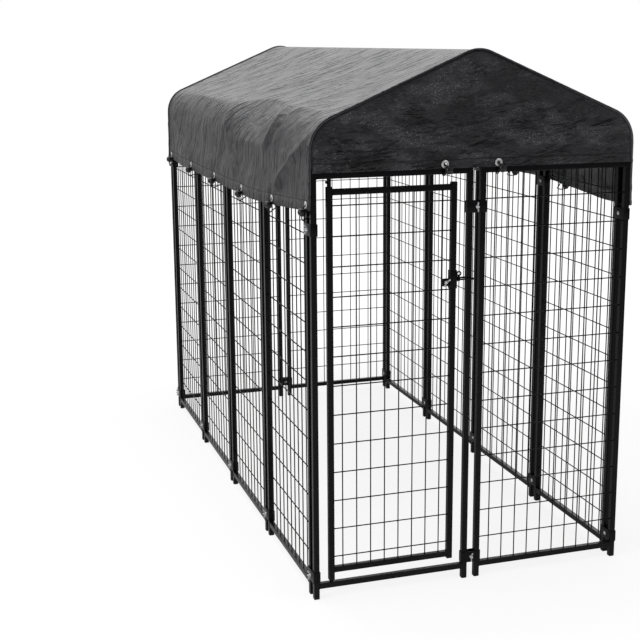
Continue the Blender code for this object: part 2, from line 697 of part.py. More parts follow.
# Tarp: one sheet over both slopes, with side flaps and two gables
def cloth_section():
    """Inner side of the tarp at a truss, right half, from the flap's hem to the ridge.

    Each point has its outward direction and its share of the sag between trusses.
    """
    clear = roof_radius + GAP
    wall = width / 2 + GAP
    flap = width / 2 + CLAMP_BOLT_REACH + 2 * GAP
    out = Vector((1, 0, 0))
    hem_z = PANEL_HEIGHT - FLAP_DROP
    points = [(Vector((flap, 0, hem_z)), out, 0.0)]
    points.append((Vector((flap, 0, clamp_high_z)), out, 0.0))
    points.append((Vector(((flap + wall) / 2, 0, (clamp_high_z + PANEL_HEIGHT) / 2)), out, 0.0))
    points.append((Vector((wall, 0, PANEL_HEIGHT - GABLE_DROP)), out, 0.0))
    corner = Vector((post_x, 0, eave_z))
    eave = corner_arc(corner, up, slope, EAVE_BEND, BEND_STEPS)
    middle = eave[0] - out * EAVE_BEND
    for index, point in enumerate(eave):
        outward = (point - middle).normalized()
        points.append((point + outward * clear, outward, EAVE_SAG * index / BEND_STEPS))
    normal = Vector((slope.z, 0, -slope.x))
    top = Vector((0, 0, ridge_corner_z)) - slope * (ridge_run - FITTING_SHOULDER)
    for index in range(1, SLOPE_STEPS + 1):
        share = index / (SLOPE_STEPS + 1)
        place_on = eave[-1].lerp(top, share)
        sag = EAVE_SAG * (1 - share) + CLOTH_SAG * math.sin(math.pi * share)
        points.append((place_on + normal * clear, normal, sag))
    ridge = corner_arc(Vector((0, 0, ridge_corner_z)), slope, down, RIDGE_BEND, BEND_STEPS)
    centre = Vector((0, 0, ridge_z - RIDGE_BEND))
    for point in ridge[: BEND_STEPS // 2 + 1]:
        outward = (point - centre).normalized()
        points.append((point + outward * clear, outward, 0.0))
    return points


def mirrored(section):
    flip = Vector((-1, 1, 1))
    other = [(point * flip, outward * flip, sag) for point, outward, sag in section[:-1]]
    return section + other[::-1]


def cloth_rows():
    """Rows of the tarp along Y, each with its share of a bay's sag; none over a truss."""
    edge = roof_radius + ROOF_WALL
    rows = [(front - GAP, 0.0)]
    for (_, truss_y), (_, next_y) in zip(truss_places, truss_places[1:]):
        start, end = truss_y + edge, next_y - edge
        for index in range(BAY_STEPS + 1):
            share = index / BAY_STEPS
            sag = math.sin(math.pi * share) if 0 < index < BAY_STEPS else 0.0
            rows.append((start + (end - start) * share, sag))
    rows.append((back + GAP, 0.0))
    return rows


def make_tarp_mesh():
    section = mirrored(cloth_section())
    rows = cloth_rows()
    bungee_step = (length - 2 * BUNGEE_INSET) / (BUNGEES_SIDE - 1)
    bm = bmesh.new()
    grid = []
    for y, in_bay in rows:
        phase = 2 * math.pi * (y - front - BUNGEE_INSET) / bungee_step
        wave = FLAP_WAVE * (1 - math.cos(phase)) / 2
        line = []
        for index, (point, outward, sag) in enumerate(section):
            from_hem = min(index, len(section) - 1 - index)
            shift = wave * max(0, 2 - from_hem) / 2 - sag * in_bay
            line.append(bm.verts.new(Vector((point.x, y, point.z)) + outward * shift))
        grid.append(line)
    for line, next_line in zip(grid, grid[1:]):
        for index in range(len(line) - 1):
            bm.faces.new((line[index], next_line[index], next_line[index + 1], line[index + 1]))
    flap_points = 3
    for line in (grid[0], grid[-1]):
        add_gable(bm, line[flap_points : len(line) - flap_points])
    bmesh.ops.recalc_face_normals(bm, faces=bm.faces)
    tool = make_tool("tarp", bm)
    if tool.data.polygons[0].normal.x < 0:
        tool.data.flip_normals()
    wall = tool.modifiers.new("cloth", "SOLIDIFY")
    wall.thickness = CLOTH
    wall.offset = 1
    wall.use_even_offset = True
    return smooth(fused(tool), 50)


def add_gable(bm, outline):
    """Closes one end of the roof down to the hem, in rows below the roof line."""
    hem = outline[0].co.z
    upper = outline[1:-1]
    columns = []
    for vert in upper:
        column = [vert]
        for row in range(1, GABLE_ROWS + 1):
            z = vert.co.z + (hem - vert.co.z) * row / GABLE_ROWS
            column.append(bm.verts.new((vert.co.x, vert.co.y, z)))
        columns.append(column)
    for column, next_column in zip(columns, columns[1:]):
        for row in range(GABLE_ROWS):
            bm.faces.new((column[row], column[row + 1], next_column[row + 1], next_column[row]))
    for corner, column in ((outline[0], columns[0]), (outline[-1], columns[-1])):
        bm.faces.new([corner] + column)


place("canopy", make_tarp_mesh(), tarp_cloth)
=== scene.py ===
# Finishes, welded mesh, clamps, latch, roof tubes, tarp and bungees of a modular outdoor cage.
# Metres: X runs across the front, Y from front to back, Z up from the floor.

import bisect
import math

import bmesh
import bpy
from mathutils import Euler, Matrix, Vector, noise


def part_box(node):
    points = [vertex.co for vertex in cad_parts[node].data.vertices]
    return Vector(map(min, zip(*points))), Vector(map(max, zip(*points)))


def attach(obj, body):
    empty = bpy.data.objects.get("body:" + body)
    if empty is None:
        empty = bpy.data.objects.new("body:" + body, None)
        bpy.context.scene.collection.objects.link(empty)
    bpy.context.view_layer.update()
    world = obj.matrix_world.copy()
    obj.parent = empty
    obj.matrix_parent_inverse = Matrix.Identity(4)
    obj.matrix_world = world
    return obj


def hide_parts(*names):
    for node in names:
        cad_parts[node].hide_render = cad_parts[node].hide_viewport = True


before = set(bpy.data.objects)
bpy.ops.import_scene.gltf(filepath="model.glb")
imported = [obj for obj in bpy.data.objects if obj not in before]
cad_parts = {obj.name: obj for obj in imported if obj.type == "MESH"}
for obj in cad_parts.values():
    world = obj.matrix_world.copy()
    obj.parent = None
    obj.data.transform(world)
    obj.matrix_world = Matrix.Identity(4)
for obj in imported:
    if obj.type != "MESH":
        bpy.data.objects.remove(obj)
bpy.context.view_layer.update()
print("frame: loaded", len(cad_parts), "nodes")

scene = bpy.context.scene
up = Vector((0, 0, 1))


# A socket that takes part in plain arithmetic
class Flow:
    def __init__(self, maker, socket):
        self.maker = maker
        self.socket = socket

    def math(self, operation, first, second=0.0):
        return self.maker.add("Math", {0: first, 1: second}, {"operation": operation})

    def sine(self):
        return self.math("SINE", self)

    def size(self):
        return self.math("ABSOLUTE", self)

    # another output of the same node
    def other(self, name):
        return Flow(self.maker, self.socket.node.outputs[name])


def arithmetic(operation, swapped):
    def apply(flow, other):
        return flow.math(operation, other, flow) if swapped else flow.math(operation, flow, other)
    return apply


for name, operation in (("add", "ADD"), ("sub", "SUBTRACT"), ("mul", "MULTIPLY"), ("truediv", "DIVIDE")):
    setattr(Flow, f"__{name}__", arithmetic(operation, False))
    setattr(Flow, f"__r{name}__", arithmetic(operation, True))
Flow.__pow__ = arithmetic("POWER", False)
Flow.__gt__ = arithmetic("GREATER_THAN", False)

# Kinds of node that keep their family in every tree
families = {"RandomValue": "FunctionNode", "GroupOutput": "Node"}
families.update(dict.fromkeys(("Math", "Mix", "CombineXYZ", "SeparateXYZ"), "ShaderNode"))


# Adds nodes to a tree: settings are set first, then the values or links of its sockets
class Maker:
    def __init__(self, tree):
        self.tree = tree
        self.family = tree.bl_idname.removesuffix("Tree")

    def add(self, kind, sockets=None, settings=None, output=0):
        node = self.tree.nodes.new(families.get(kind, self.family) + kind)
        for name, value in (settings or {}).items():
            if name == "stops":
                self.fillRamp(node.color_ramp, value)
            else:
                setattr(node, name, value)
        for name, value in (sockets or {}).items():
            self.feed(node.inputs[name], value)
        return Flow(self, node.outputs[output]) if node.outputs else node

    def feed(self, socket, value):
        if isinstance(value, Flow):
            self.tree.links.new(value.socket, socket)
        elif isinstance(value, (list, tuple)) and isinstance(value[0], Flow):
            for flow in value:
                self.tree.links.new(flow.socket, socket)
        else:
            socket.default_value = value

    def fillRamp(self, ramp, stops):
        while len(ramp.elements) < len(stops):
            ramp.elements.new(0.5)
        for element, (place, level) in zip(ramp.elements, stops):
            element.position = place
            element.color = (level, level, level, 1)

    def mixColour(self, share, first, second):
        settings = {"data_type": "RGBA"}
        return self.add("Mix", {0: share, 6: first, 7: second}, settings, 2)

    def vector(self, x, y, z):
        return self.add("CombineXYZ", {0: x, 1: y, 2: z})


def grey(level):
    return (level, level, level, 1)


def linked(name, data):
    item = bpy.data.objects.new(name, data)
    scene.collection.objects.link(item)
    return item


def startMaterial(name):
    material = bpy.data.materials.new(name)
    material.use_nodes = True
    material.node_tree.nodes.clear()
    return material, Maker(material.node_tree)


def endMaterial(material, maker, values):
    shader = maker.add("BsdfPrincipled", values)
    maker.add("OutputMaterial", {"Surface": shader})
    return material


# Camera, fitted to the photograph; the shift keeps its vertical framing
cameraFit = {
    "lens": 69.53,
    "sensor": 36.0,
    "place": (-1.7295, -5.0307, 1.8944),
    "turn": (1.3627, 0.0044, -0.3180),
    "shift": (-0.0333, -0.0300),
}


def setCamera():
    data = bpy.data.cameras.new("photoCamera")
    data.lens = cameraFit["lens"]
    data.sensor_width = cameraFit["sensor"]
    data.shift_x, data.shift_y = cameraFit["shift"]
    data.clip_end = 60
    camera = linked("photoCamera", data)
    camera.location = cameraFit["place"]
    camera.rotation_euler = Euler(cameraFit["turn"], "XYZ")
    scene.camera = camera


# Studio: white behind and above, unlit on the camera's side, one wide soft light overhead
studio = {
    "worldStrength": 0.38,
    "mirrorDark": 0.07,          # what gloss sees on the camera's side
    "mirrorWhite": 0.95,         # and behind the object
    "mirrorTurn": (-0.30, 0.30),
    "mirrorRise": (0.86, 2.10),  # low down and high up
    "mirrorHeight": (0.15, 0.29),
    "mirrorSide": (-0.17, 0.07), # darker to the left, bright behind
    "mirrorSideShare": (0.66, 1.0),
    "floorSize": 24.0,
    "floorWhite": 0.86,
    "floorGlow": (1.20, 1.36),   # near the object and far from it
    "floorReach": (1.6, 3.6),
    "floorGlowShare": 0.70,
    "floorMirror": 0.16,
    "lamps": (
        ("topLight", (-0.9, 0.1, 5.2), (3.6, 3.6), 80, (0, 0, 0.6)),
        ("leftLight", (-4.8, -2.4, 2.6), (1.3, 1.6), 58, (0, 0, 0.8)),
        ("rightLight", (4.4, -3.4, 3.0), (2.4, 2.6), 10, (0, 0, 0.8)),
        ("glintLight", (1.9, -5.2, 2.9), (0.8, 0.5), 11, (0, -1.2, 1.65)),
    ),
}


def setWorld():
    world = bpy.data.worlds.new("whiteStudio")
    world.use_nodes = True
    world.node_tree.nodes.clear()
    maker = Maker(world.node_tree)
    path = maker.add("LightPath")
    direction = maker.add("TexCoord")
    toBack = maker.add("SeparateXYZ", {0: direction}).other("Y")
    low, high = studio["mirrorTurn"]
    sockets = {0: toBack, 1: low, 2: high, 3: studio["mirrorDark"], 4: studio["mirrorWhite"]}
    mirror = maker.add("MapRange", sockets, {"interpolation_type": "SMOOTHSTEP"})
    upwards = toBack.other("Z")
    low, high = studio["mirrorHeight"]
    dim, bright = studio["mirrorRise"]
    mirror = mirror * maker.add("MapRange", {0: upwards, 1: low, 2: high, 3: dim, 4: bright})
    low, high = studio["mirrorSide"]
    dim, bright = studio["mirrorSideShare"]
    sockets = {0: toBack.other("X"), 1: low, 2: high, 3: dim, 4: bright}
    mirror = mirror * maker.add("MapRange", sockets, {"interpolation_type": "SMOOTHSTEP"})
    glossy = path.other("Is Glossy Ray")
    plain = path.other("Is Camera Ray")
    plain = plain.math("MAXIMUM", plain, path.other("Is Transmission Ray"))
    strength = glossy * mirror + (1 - glossy) * studio["worldStrength"]
    strength = plain + (1 - plain) * strength
    sky = maker.add("Background", {"Color": grey(1.0), "Strength": strength})
    maker.add("OutputWorld", {"Surface": sky})
    scene.world = world


def floorMaterial():
    material, maker = startMaterial("studioFloor")
    place = maker.add("TexCoord", output=3)
    far = maker.add("VectorMath", {0: place}, {"operation": "LENGTH"}, 1)
    near, reach = studio["floorReach"]
    sockets = {0: far, 1: near, 2: reach, 3: studio["floorGlow"][0], 4: studio["floorGlow"][1]}
    glowing = maker.add("MapRange", sockets)
    paint = maker.add("BsdfDiffuse", {"Color": grey(studio["floorWhite"])})
    glow = maker.add("Emission", {"Color": grey(1.0), "Strength": glowing})
    path = maker.add("LightPath")
    seen = path.other("Is Camera Ray")
    seen = seen.math("MAXIMUM", seen, path.other("Is Transmission Ray")) * studio["floorGlowShare"]
    seen = seen.math("MAXIMUM", seen, path.other("Is Glossy Ray") * studio["floorMirror"])
    both = maker.add("MixShader", {0: seen, 1: paint, 2: glow})
    maker.add("OutputMaterial", {"Surface": both})
    return material


def setStudio():
    mesh = bpy.data.meshes.new("studioFloor")
    half = studio["floorSize"] / 2
    corners = [(-half, -half, 0), (half, -half, 0), (half, half, 0), (-half, half, 0)]
    mesh.from_pydata(corners, [], [(0, 1, 2, 3)])
    mesh.materials.append(floorMaterial())
    floor = linked("studioFloor", mesh)
    for name, place, size, power, target in studio["lamps"]:
        data = bpy.data.lights.new(name, "AREA")
        data.shape = "RECTANGLE"
        data.size, data.size_y = size
        data.energy = power
        lamp = linked(name, data)
        lamp.location = place
        aim = Vector(target) - Vector(place)
        lamp.rotation_euler = aim.to_track_quat("-Z", "Y").to_euler()
    scene.view_settings.view_transform = "Standard"


setCamera()
setWorld()
setStudio()
print("studio: camera, world, floor and lamps")


# Materials
def objectPlace(maker):
    return maker.add("TexCoord", output=3)


def cloud(maker, place, scale, detail=3.0, rough=0.55):
    sockets = {"Vector": place, "Scale": scale, "Detail": detail, "Roughness": rough}
    return maker.add("TexNoise", sockets, {"noise_dimensions": "3D"})


def ramp(maker, value, *stops):
    return maker.add("ValToRGB", {"Fac": value}, {"stops": stops})


def bump(maker, height, depth, before=None):
    sockets = {"Height": height, "Strength": 1.0, "Distance": depth}
    if before is not None:
        sockets["Normal"] = before
    return maker.add("Bump", sockets)


# Satin black powder coat: fine orange peel, broader patches of gloss, dust low down
powder = {
    "colour": (0.0036, 0.0036, 0.0044, 1),
    "scuffed": (0.009, 0.009, 0.010, 1),
    "dust": (0.055, 0.052, 0.047, 1),
    "roughness": 0.25,
    "specular": 0.15,
    "peelScale": 620.0,
    "peelDepth": 0.00006,
    "dustHeight": 0.16,
}


def coatMaterial(name, tone=1.0, roughness=None, dusty=True, peel=1.0):
    material, maker = startMaterial(name)
    place = objectPlace(maker)
    patches = cloud(maker, place, 9.0, 4.0)
    grain = cloud(maker, place, powder["peelScale"], 2.0, 0.5)
    scuffs = cloud(maker, place, 46.0, 6.0, 0.72)
    scuffShare = ramp(maker, scuffs, (0.60, 0.0), (0.74, 1.0)) * 0.5
    base = tuple(level * tone for level in powder["colour"][:3]) + (1,)
    colour = maker.mixColour(scuffShare, base, powder["scuffed"])
    if dusty:
        high = maker.add("SeparateXYZ", {0: place}).other("Z")
        low = maker.add("MapRange", {0: high, 1: 0.0, 2: powder["dustHeight"], 3: 0.30, 4: 0.0})
        colour = maker.mixColour(low * patches, colour, powder["dust"])
    shine = powder["roughness"] if roughness is None else roughness
    rough = shine - 0.05 + patches * 0.12 + scuffShare * 0.16
    normal = bump(maker, grain, powder["peelDepth"] * peel)
    normal = bump(maker, patches, 0.0004, normal)
    values = {"IOR": 1.5, "Specular IOR Level": powder["specular"]}
    values = {**values, "Base Color": colour, "Roughness": rough, "Normal": normal}
    return endMaterial(material, maker, values)


# Bright zinc plate: mottled grey with fine crystals and darker hollows
zincPlate = {
    "light": (0.90, 0.90, 0.92, 1),
    "dark": (0.62, 0.63, 0.65, 1),
    "roughness": 0.34,
    "metallic": 0.45,
}


def zincMaterial():
    material, maker = startMaterial("zincPlate")
    place = objectPlace(maker)
    settings = {"feature": "F1"}
    crystals = maker.add("TexVoronoi", {"Vector": place, "Scale": 520.0}, settings)
    mottle = cloud(maker, place, 160.0, 4.0, 0.6)
    share = ramp(maker, mottle, (0.38, 0.0), (0.66, 1.0))
    colour = maker.mixColour(share, zincPlate["light"], zincPlate["dark"])
    rough = zincPlate["roughness"] + share * 0.14 + crystals * 0.12
    normal = bump(maker, crystals, 0.00005)
    values = {"Metallic": zincPlate["metallic"], "Base Color": colour, "Roughness": rough, "Normal": normal}
    return endMaterial(material, maker, values)


# Bright plated grommets, almost white
def nickelMaterial():
    material, maker = startMaterial("nickelPlate")
    place = objectPlace(maker)
    smears = cloud(maker, place, 210.0, 4.0, 0.6)
    share = ramp(maker, smears, (0.42, 0.0), (0.68, 1.0)) * 0.8
    colour = maker.mixColour(share, grey(0.88), grey(0.62))
    rough = 0.26 + share * 0.2
    normal = bump(maker, smears, 0.00012)
    values = {"Metallic": 0.55, "IOR": 1.6, "Base Color": colour, "Roughness": rough, "Normal": normal}
    return endMaterial(material, maker, values)


# Moulded black plastic for caps and bungee balls
def plasticMaterial(name, level, roughness):
    material, maker = startMaterial(name)
    place = objectPlace(maker)
    grain = cloud(maker, place, 900.0, 2.0, 0.5)
    wear = cloud(maker, place, 60.0, 5.0, 0.65)
    share = ramp(maker, wear, (0.55, 0.0), (0.72, 1.0)) * 0.35
    colour = maker.mixColour(share, grey(level), grey(level * 2.6))
    rough = roughness + wear * 0.16
    normal = bump(maker, grain, 0.00005)
    values = {"IOR": 1.49, "Base Color": colour, "Roughness": rough, "Normal": normal}
    return endMaterial(material, maker, values)


# Woven tape cloth, laminated. UV runs in metres over the cut sheet: from the ridge outwards
# and from front to back on the roof, across and up, set off by a step, on the gables
cloth = {
    "seamEdge": (0.0010, 0.0032),
    "colour": (0.0098, 0.0097, 0.0124, 1),
    "worn": (0.020, 0.020, 0.025, 1),
    # Painted sheen: lighter patches on the gables, with bright painted glints (specks) inside them, stand
    # in for light caught by the cloth
    "gablePaintedSheen": (0.052, 0.052, 0.058, 1),
    "paintedGlint": (0.42, 0.42, 0.44, 1),
    # Painted light: the inner faces of the side flaps get a lighter colour, as if lit from inside
    "paintedInsideLight": (0.110, 0.110, 0.118, 1),
    "specular": 0.48,
    "roughness": 0.31,
    "tape": 0.0026,
    "weaveDepth": 0.00020,
    "creaseDepth": 0.0042,
    "crumpleDepth": 0.0016,
    "gableStep": 3.0,
    "flapStart": 0.60,
    "hemLine": 0.888,
    "gableHemLine": 1.504,
}


# Sharp ridges where a noise crosses its middle
def ridges(maker, place, detail, power=1.8):
    field = cloud(maker, place, 1.0, detail, 0.55)
    gap = 1 - ((field - 0.5) * 4.5).size()
    return gap.math("MAXIMUM", gap, 0.0) ** power


def weaveHeight(across, along):
    pitch = math.pi / cloth["tape"]
    warp = (across * pitch).sine()
    weft = (along * pitch).sine()
    return warp.size() * 0.5 + weft.size() * 0.5 + warp * weft * 0.25


def tarpMaterial():
    material, maker = startMaterial("wovenTarp")
    sheet = maker.add("UVMap", settings={"uv_map": "cutSheet"})
    parts = maker.add("SeparateXYZ", {0: sheet})
    across, along = parts.other("X"), parts.other("Y")
    gable = across > cloth["gableStep"] - 1
    run = across.size()
    sockets = {0: run, 1: cloth["flapStart"], 2: cloth["flapStart"] + 0.12}
    flap = maker.add("MapRange", sockets, {"interpolation_type": "SMOOTHSTEP"})
    lean, cross = run * 0.70 + along * 0.71, run * 0.71 - along * 0.70
    slopeFolds = ridges(maker, maker.vector(cross * 22, lean * 4, 0.0), 1.5)
    slopeFine = ridges(maker, maker.vector(cross * 66, lean * 17, 5.0), 1.0)
    slopeCross = ridges(maker, maker.vector(run * 60, along * 19, 8.0), 1.0)
    slopeFine = slopeFine + slopeCross * 0.7
    flapFolds = ridges(maker, maker.vector(along * 22, run * 5, 11.0), 1.5)
    flapFine = ridges(maker, maker.vector(along * 74 + run * 16, run * 15, 17.0), 1.0)
    gableLong = ridges(maker, maker.vector(across * 6 + along * 5, along * 24 - across * 5, 23.0), 2.0)
    gableFine = ridges(maker, maker.vector(across * 26, along * 52, 29.0), 1.5)
    patch = cloud(maker, sheet, 9.0, 2.0, 0.5)
    creased = ramp(maker, patch, (0.40, 0.10), (0.62, 1.0))
    slopes = slopeFolds * 2.1 + slopeFine * 0.60
    flaps = flapFolds * 2.6 + flapFine * 0.50
    gables = gableLong * 5.5 + gableFine * 1.8
    roofFolds = slopes * (1 - flap) + flaps * flap
    folds = (roofFolds * (1 - gable) + gables * gable) * creased
    blotch = cloud(maker, sheet, 6.0, 5.0, 0.6)
    crumple = cloud(maker, sheet, 70.0, 4.0, 0.68)
    glitter = cloud(maker, sheet, 330.0, 1.0, 0.5)
    weave = weaveHeight(across, along)
    hemEdge = (run - cloth["hemLine"]).size() * (1 - gable) + (along - cloth["gableHemLine"]).size() * gable
    low, high = cloth["seamEdge"]
    seam = maker.add("MapRange", {0: hemEdge, 1: low, 2: high, 3: 1.0, 4: 0.0})
    share = ramp(maker, blotch, (0.40, 0.0), (0.72, 1.0)) * 0.6
    colour = maker.mixColour(share, cloth["colour"], cloth["worn"])
    # Painted sheen and glints on the gables: lighter patches, with bright specks inside them, stand in for
    # light caught by the weave and folds
    sheenPatchNoise = cloud(maker, maker.vector(across * 5, along * 13, 40.0), 1.0, 4.0, 0.6)
    paintedSheenShare = ramp(maker, sheenPatchNoise, (0.46, 0.0), (0.62, 1.0)) * gable
    colour = maker.mixColour(paintedSheenShare * 0.9, colour, cloth["gablePaintedSheen"])
    paintedGlintShare = ramp(maker, cloud(maker, sheet, 210.0, 2.0, 0.6), (0.60, 0.0), (0.68, 1.0)) * paintedSheenShare
    colour = maker.mixColour(paintedGlintShare * 0.8, colour, cloth["paintedGlint"])
    # Painted light on the inner faces of the side flaps: a lighter colour where a face looks inwards
    away = maker.add("TexCoord").other("Normal")
    facing = maker.add("SeparateXYZ", {0: away})
    spot = maker.add("SeparateXYZ", {0: objectPlace(maker)})
    inside = facing * spot * -1 > 0.1
    colour = maker.mixColour(inside * (1 - gable), colour, cloth["paintedInsideLight"])
    colour = maker.mixColour(seam * 0.75, colour, grey(0.004))
    rough = cloth["roughness"] + blotch * 0.10 + crumple * 0.06 + seam * 0.3
    normal = bump(maker, folds, cloth["creaseDepth"])
    normal = bump(maker, crumple * (1 + gable) + glitter * 0.35, cloth["crumpleDepth"], normal)
    normal = bump(maker, weave - seam * 3, cloth["weaveDepth"], normal)
    values = {"IOR": 1.5, "Specular IOR Level": cloth["specular"]}
    values = {**values, "Base Color": colour, "Roughness": rough, "Normal": normal}
    return endMaterial(material, maker, values)


# Braided elastic: UV x round the cord, y along it in metres
def elasticMaterial():
    material, maker = startMaterial("braidedElastic")
    sheet = maker.add("UVMap", settings={"uv_map": "cord"})
    parts = maker.add("SeparateXYZ", {0: sheet})
    around, along = parts.other("X") * (6 * math.pi), parts.other("Y") * (math.pi / 0.0022)
    first, second = (around + along).sine(), (around - along).sine()
    braid = first.math("MAXIMUM", first, second)
    colour = maker.mixColour(braid * 0.5 + 0.5, grey(0.008), grey(0.022))
    normal = bump(maker, braid, 0.00025)
    return endMaterial(material, maker, {"Roughness": 0.75, "Base Color": colour, "Normal": normal})


frameCoat = coatMaterial("powderCoat")
clampCoat = coatMaterial("clampCoat", 1.15, 0.30, False)
latchCoat = coatMaterial("latchCoat", 1.0, 0.28, False)
roofCoat = coatMaterial("roofTubeCoat", 1.2, 0.42, False)
zinc = zincMaterial()
capPlastic = plasticMaterial("capPlastic", 0.010, 0.40)
ballPlastic = plasticMaterial("ballPlastic", 0.009, 0.22)
threadCloth = plasticMaterial("sewingThread", 0.022, 0.60)
nickel = nickelMaterial()
wovenTarp = tarpMaterial()
elastic = elasticMaterial()
print("materials: coats, zinc, plastics, tarp, elastic")


# Meshes and objects
def dressed(name, mesh, body="frame", node=None):
    piece = linked(name, mesh)
    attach(piece, body)
    if node:
        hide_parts(node)
    return piece


# The mesh of an object with its modifiers, which then goes
def settled(holder, name):
    graph = bpy.context.evaluated_depsgraph_get()
    graph.update()
    mesh = bpy.data.meshes.new_from_object(holder.evaluated_get(graph))
    bpy.data.objects.remove(holder)
    mesh.name = name
    return mesh


# A mesh made by Geometry Nodes; spots are the points, with their facings, that the tree works on
def grown(name, tree, values, spots=(), edges=()):
    base = bpy.data.meshes.new(name + "Spots")
    base.from_pydata([place for place, facing in spots], edges, [])
    if spots:
        turns = base.attributes.new("facing", "FLOAT_VECTOR", "POINT")
        for index, (place, facing) in enumerate(spots):
            turns.data[index].vector = facing
    holder = linked(name + "Holder", base)
    modifier = holder.modifiers.new(tree.name, "NODES")
    modifier.node_group = tree
    for item in tree.interface.items_tree:
        if item.in_out == "INPUT" and item.name in values:
            modifier[item.identifier] = values[item.name]
    return settled(holder, name)


# Keeps broad flats flat beside their rounded edges
def weighted(mesh):
    holder = linked(mesh.name + "Holder", mesh)
    modifier = holder.modifiers.new("flats", "WEIGHTED_NORMAL")
    modifier.weight = 90
    modifier.keep_sharp = True
    return settled(holder, mesh.name)


def startTree(name, sockets):
    tree = bpy.data.node_groups.new(name, "GeometryNodeTree")
    for label, kind, value in sockets:
        socket = tree.interface.new_socket(name=label, in_out="INPUT", socket_type="NodeSocket" + kind)
        if value is not None:
            socket.default_value = value
    tree.interface.new_socket(name="Geometry", in_out="OUTPUT", socket_type="NodeSocketGeometry")
    maker = Maker(tree)
    entry = tree.nodes.new("NodeGroupInput")
    given = {socket.name: Flow(maker, socket) for socket in entry.outputs if socket.name}
    return tree, maker, given


def endTree(maker, pieces, coat):
    joined = maker.add("JoinGeometry", {0: pieces[::-1]})
    real = maker.add("RealizeInstances", {0: joined})
    painted = maker.add("SetMaterial", {"Geometry": real, "Material": coat})
    maker.add("GroupOutput", {0: painted})


# Square tube with eased corners and a small chamfer at its ends
def tubeRun(maker, start, end, run, across, corner, chamfer, scale=1.0):
    index = maker.add("InputIndex")
    far = index > 1.5
    share = (1 - far) * index * chamfer / run + far * (1 - (3 - index) * chamfer / run)
    line = maker.add("MeshLine", {"Count": 4}, {"mode": "OFFSET"})
    settings = {"data_type": "VECTOR"}
    where = maker.add("Mix", {0: share, 4: start, 5: end}, settings, 1)
    line = maker.add("SetPosition", {"Geometry": line, "Position": where})
    curve = maker.add("MeshToCurve", {0: line})
    ends = 1 - (index - 1.5).size().math("GREATER_THAN", (index - 1.5).size(), 1.0) * 2 * chamfer / across
    curve = maker.add("SetCurveRadius", {"Curve": curve, "Radius": ends})
    sockets = {0: across * scale, 1: across * scale}
    square = maker.add("CurvePrimitiveQuadrilateral", sockets, {"mode": "RECTANGLE"})
    square = maker.add("FilletCurve", {"Curve": square, "Count": 3, "Radius": corner}, {"mode": "POLY"})
    sockets = {"Curve": curve, "Profile Curve": square, "Fill Caps": True}
    return maker.add("CurveToMesh", sockets)


# Round wire from start to end
def wireRun(maker, start, end, wire, sides=8):
    line = maker.add("CurvePrimitiveLine", {"Start": start, "End": end}, {"mode": "POINTS"})
    ring = maker.add("CurvePrimitiveCircle", {"Resolution": sides, "Radius": wire / 2}, {"mode": "RADIUS"})
    return maker.add("CurveToMesh", {"Curve": line, "Profile Curve": ring})


def instances(maker, points, piece, rotation=(0, 0, 0), scale=(1, 1, 1)):
    sockets = {"Points": points, "Instance": piece, "Rotation": rotation, "Scale": scale}
    return maker.add("InstanceOnPoints", sockets)


def scattered(maker, low, high, seed):
    settings = {"data_type": "FLOAT_VECTOR"}
    return maker.add("RandomValue", {0: low, 1: high, "Seed": seed}, settings)


# Fillet weld round a rail's end, a little uneven like one laid by hand
def weldRing(maker, place, across, bead, seed):
    side = across + bead * 0.5
    ring = maker.add("CurvePrimitiveQuadrilateral", {0: side, 1: side}, {"mode": "RECTANGLE"})
    ring = maker.add("FilletCurve", {"Curve": ring, "Count": 3, "Radius": 0.003}, {"mode": "POLY"})
    ring = maker.add("ResampleCurve", {"Curve": ring, "Count": 56})
    ripple = scattered(maker, (-0.0002,) * 3, (0.0002,) * 3, seed)
    ring = maker.add("SetPosition", {"Geometry": ring, "Offset": ripple})
    disc = maker.add("CurvePrimitiveCircle", {"Resolution": 6, "Radius": bead}, {"mode": "RADIUS"})
    mesh = maker.add("CurveToMesh", {"Curve": ring, "Profile Curve": disc})
    sockets = {"Geometry": mesh, "Translation": place, "Rotation": (0, math.pi / 2, 0)}
    return maker.add("Transform", sockets)


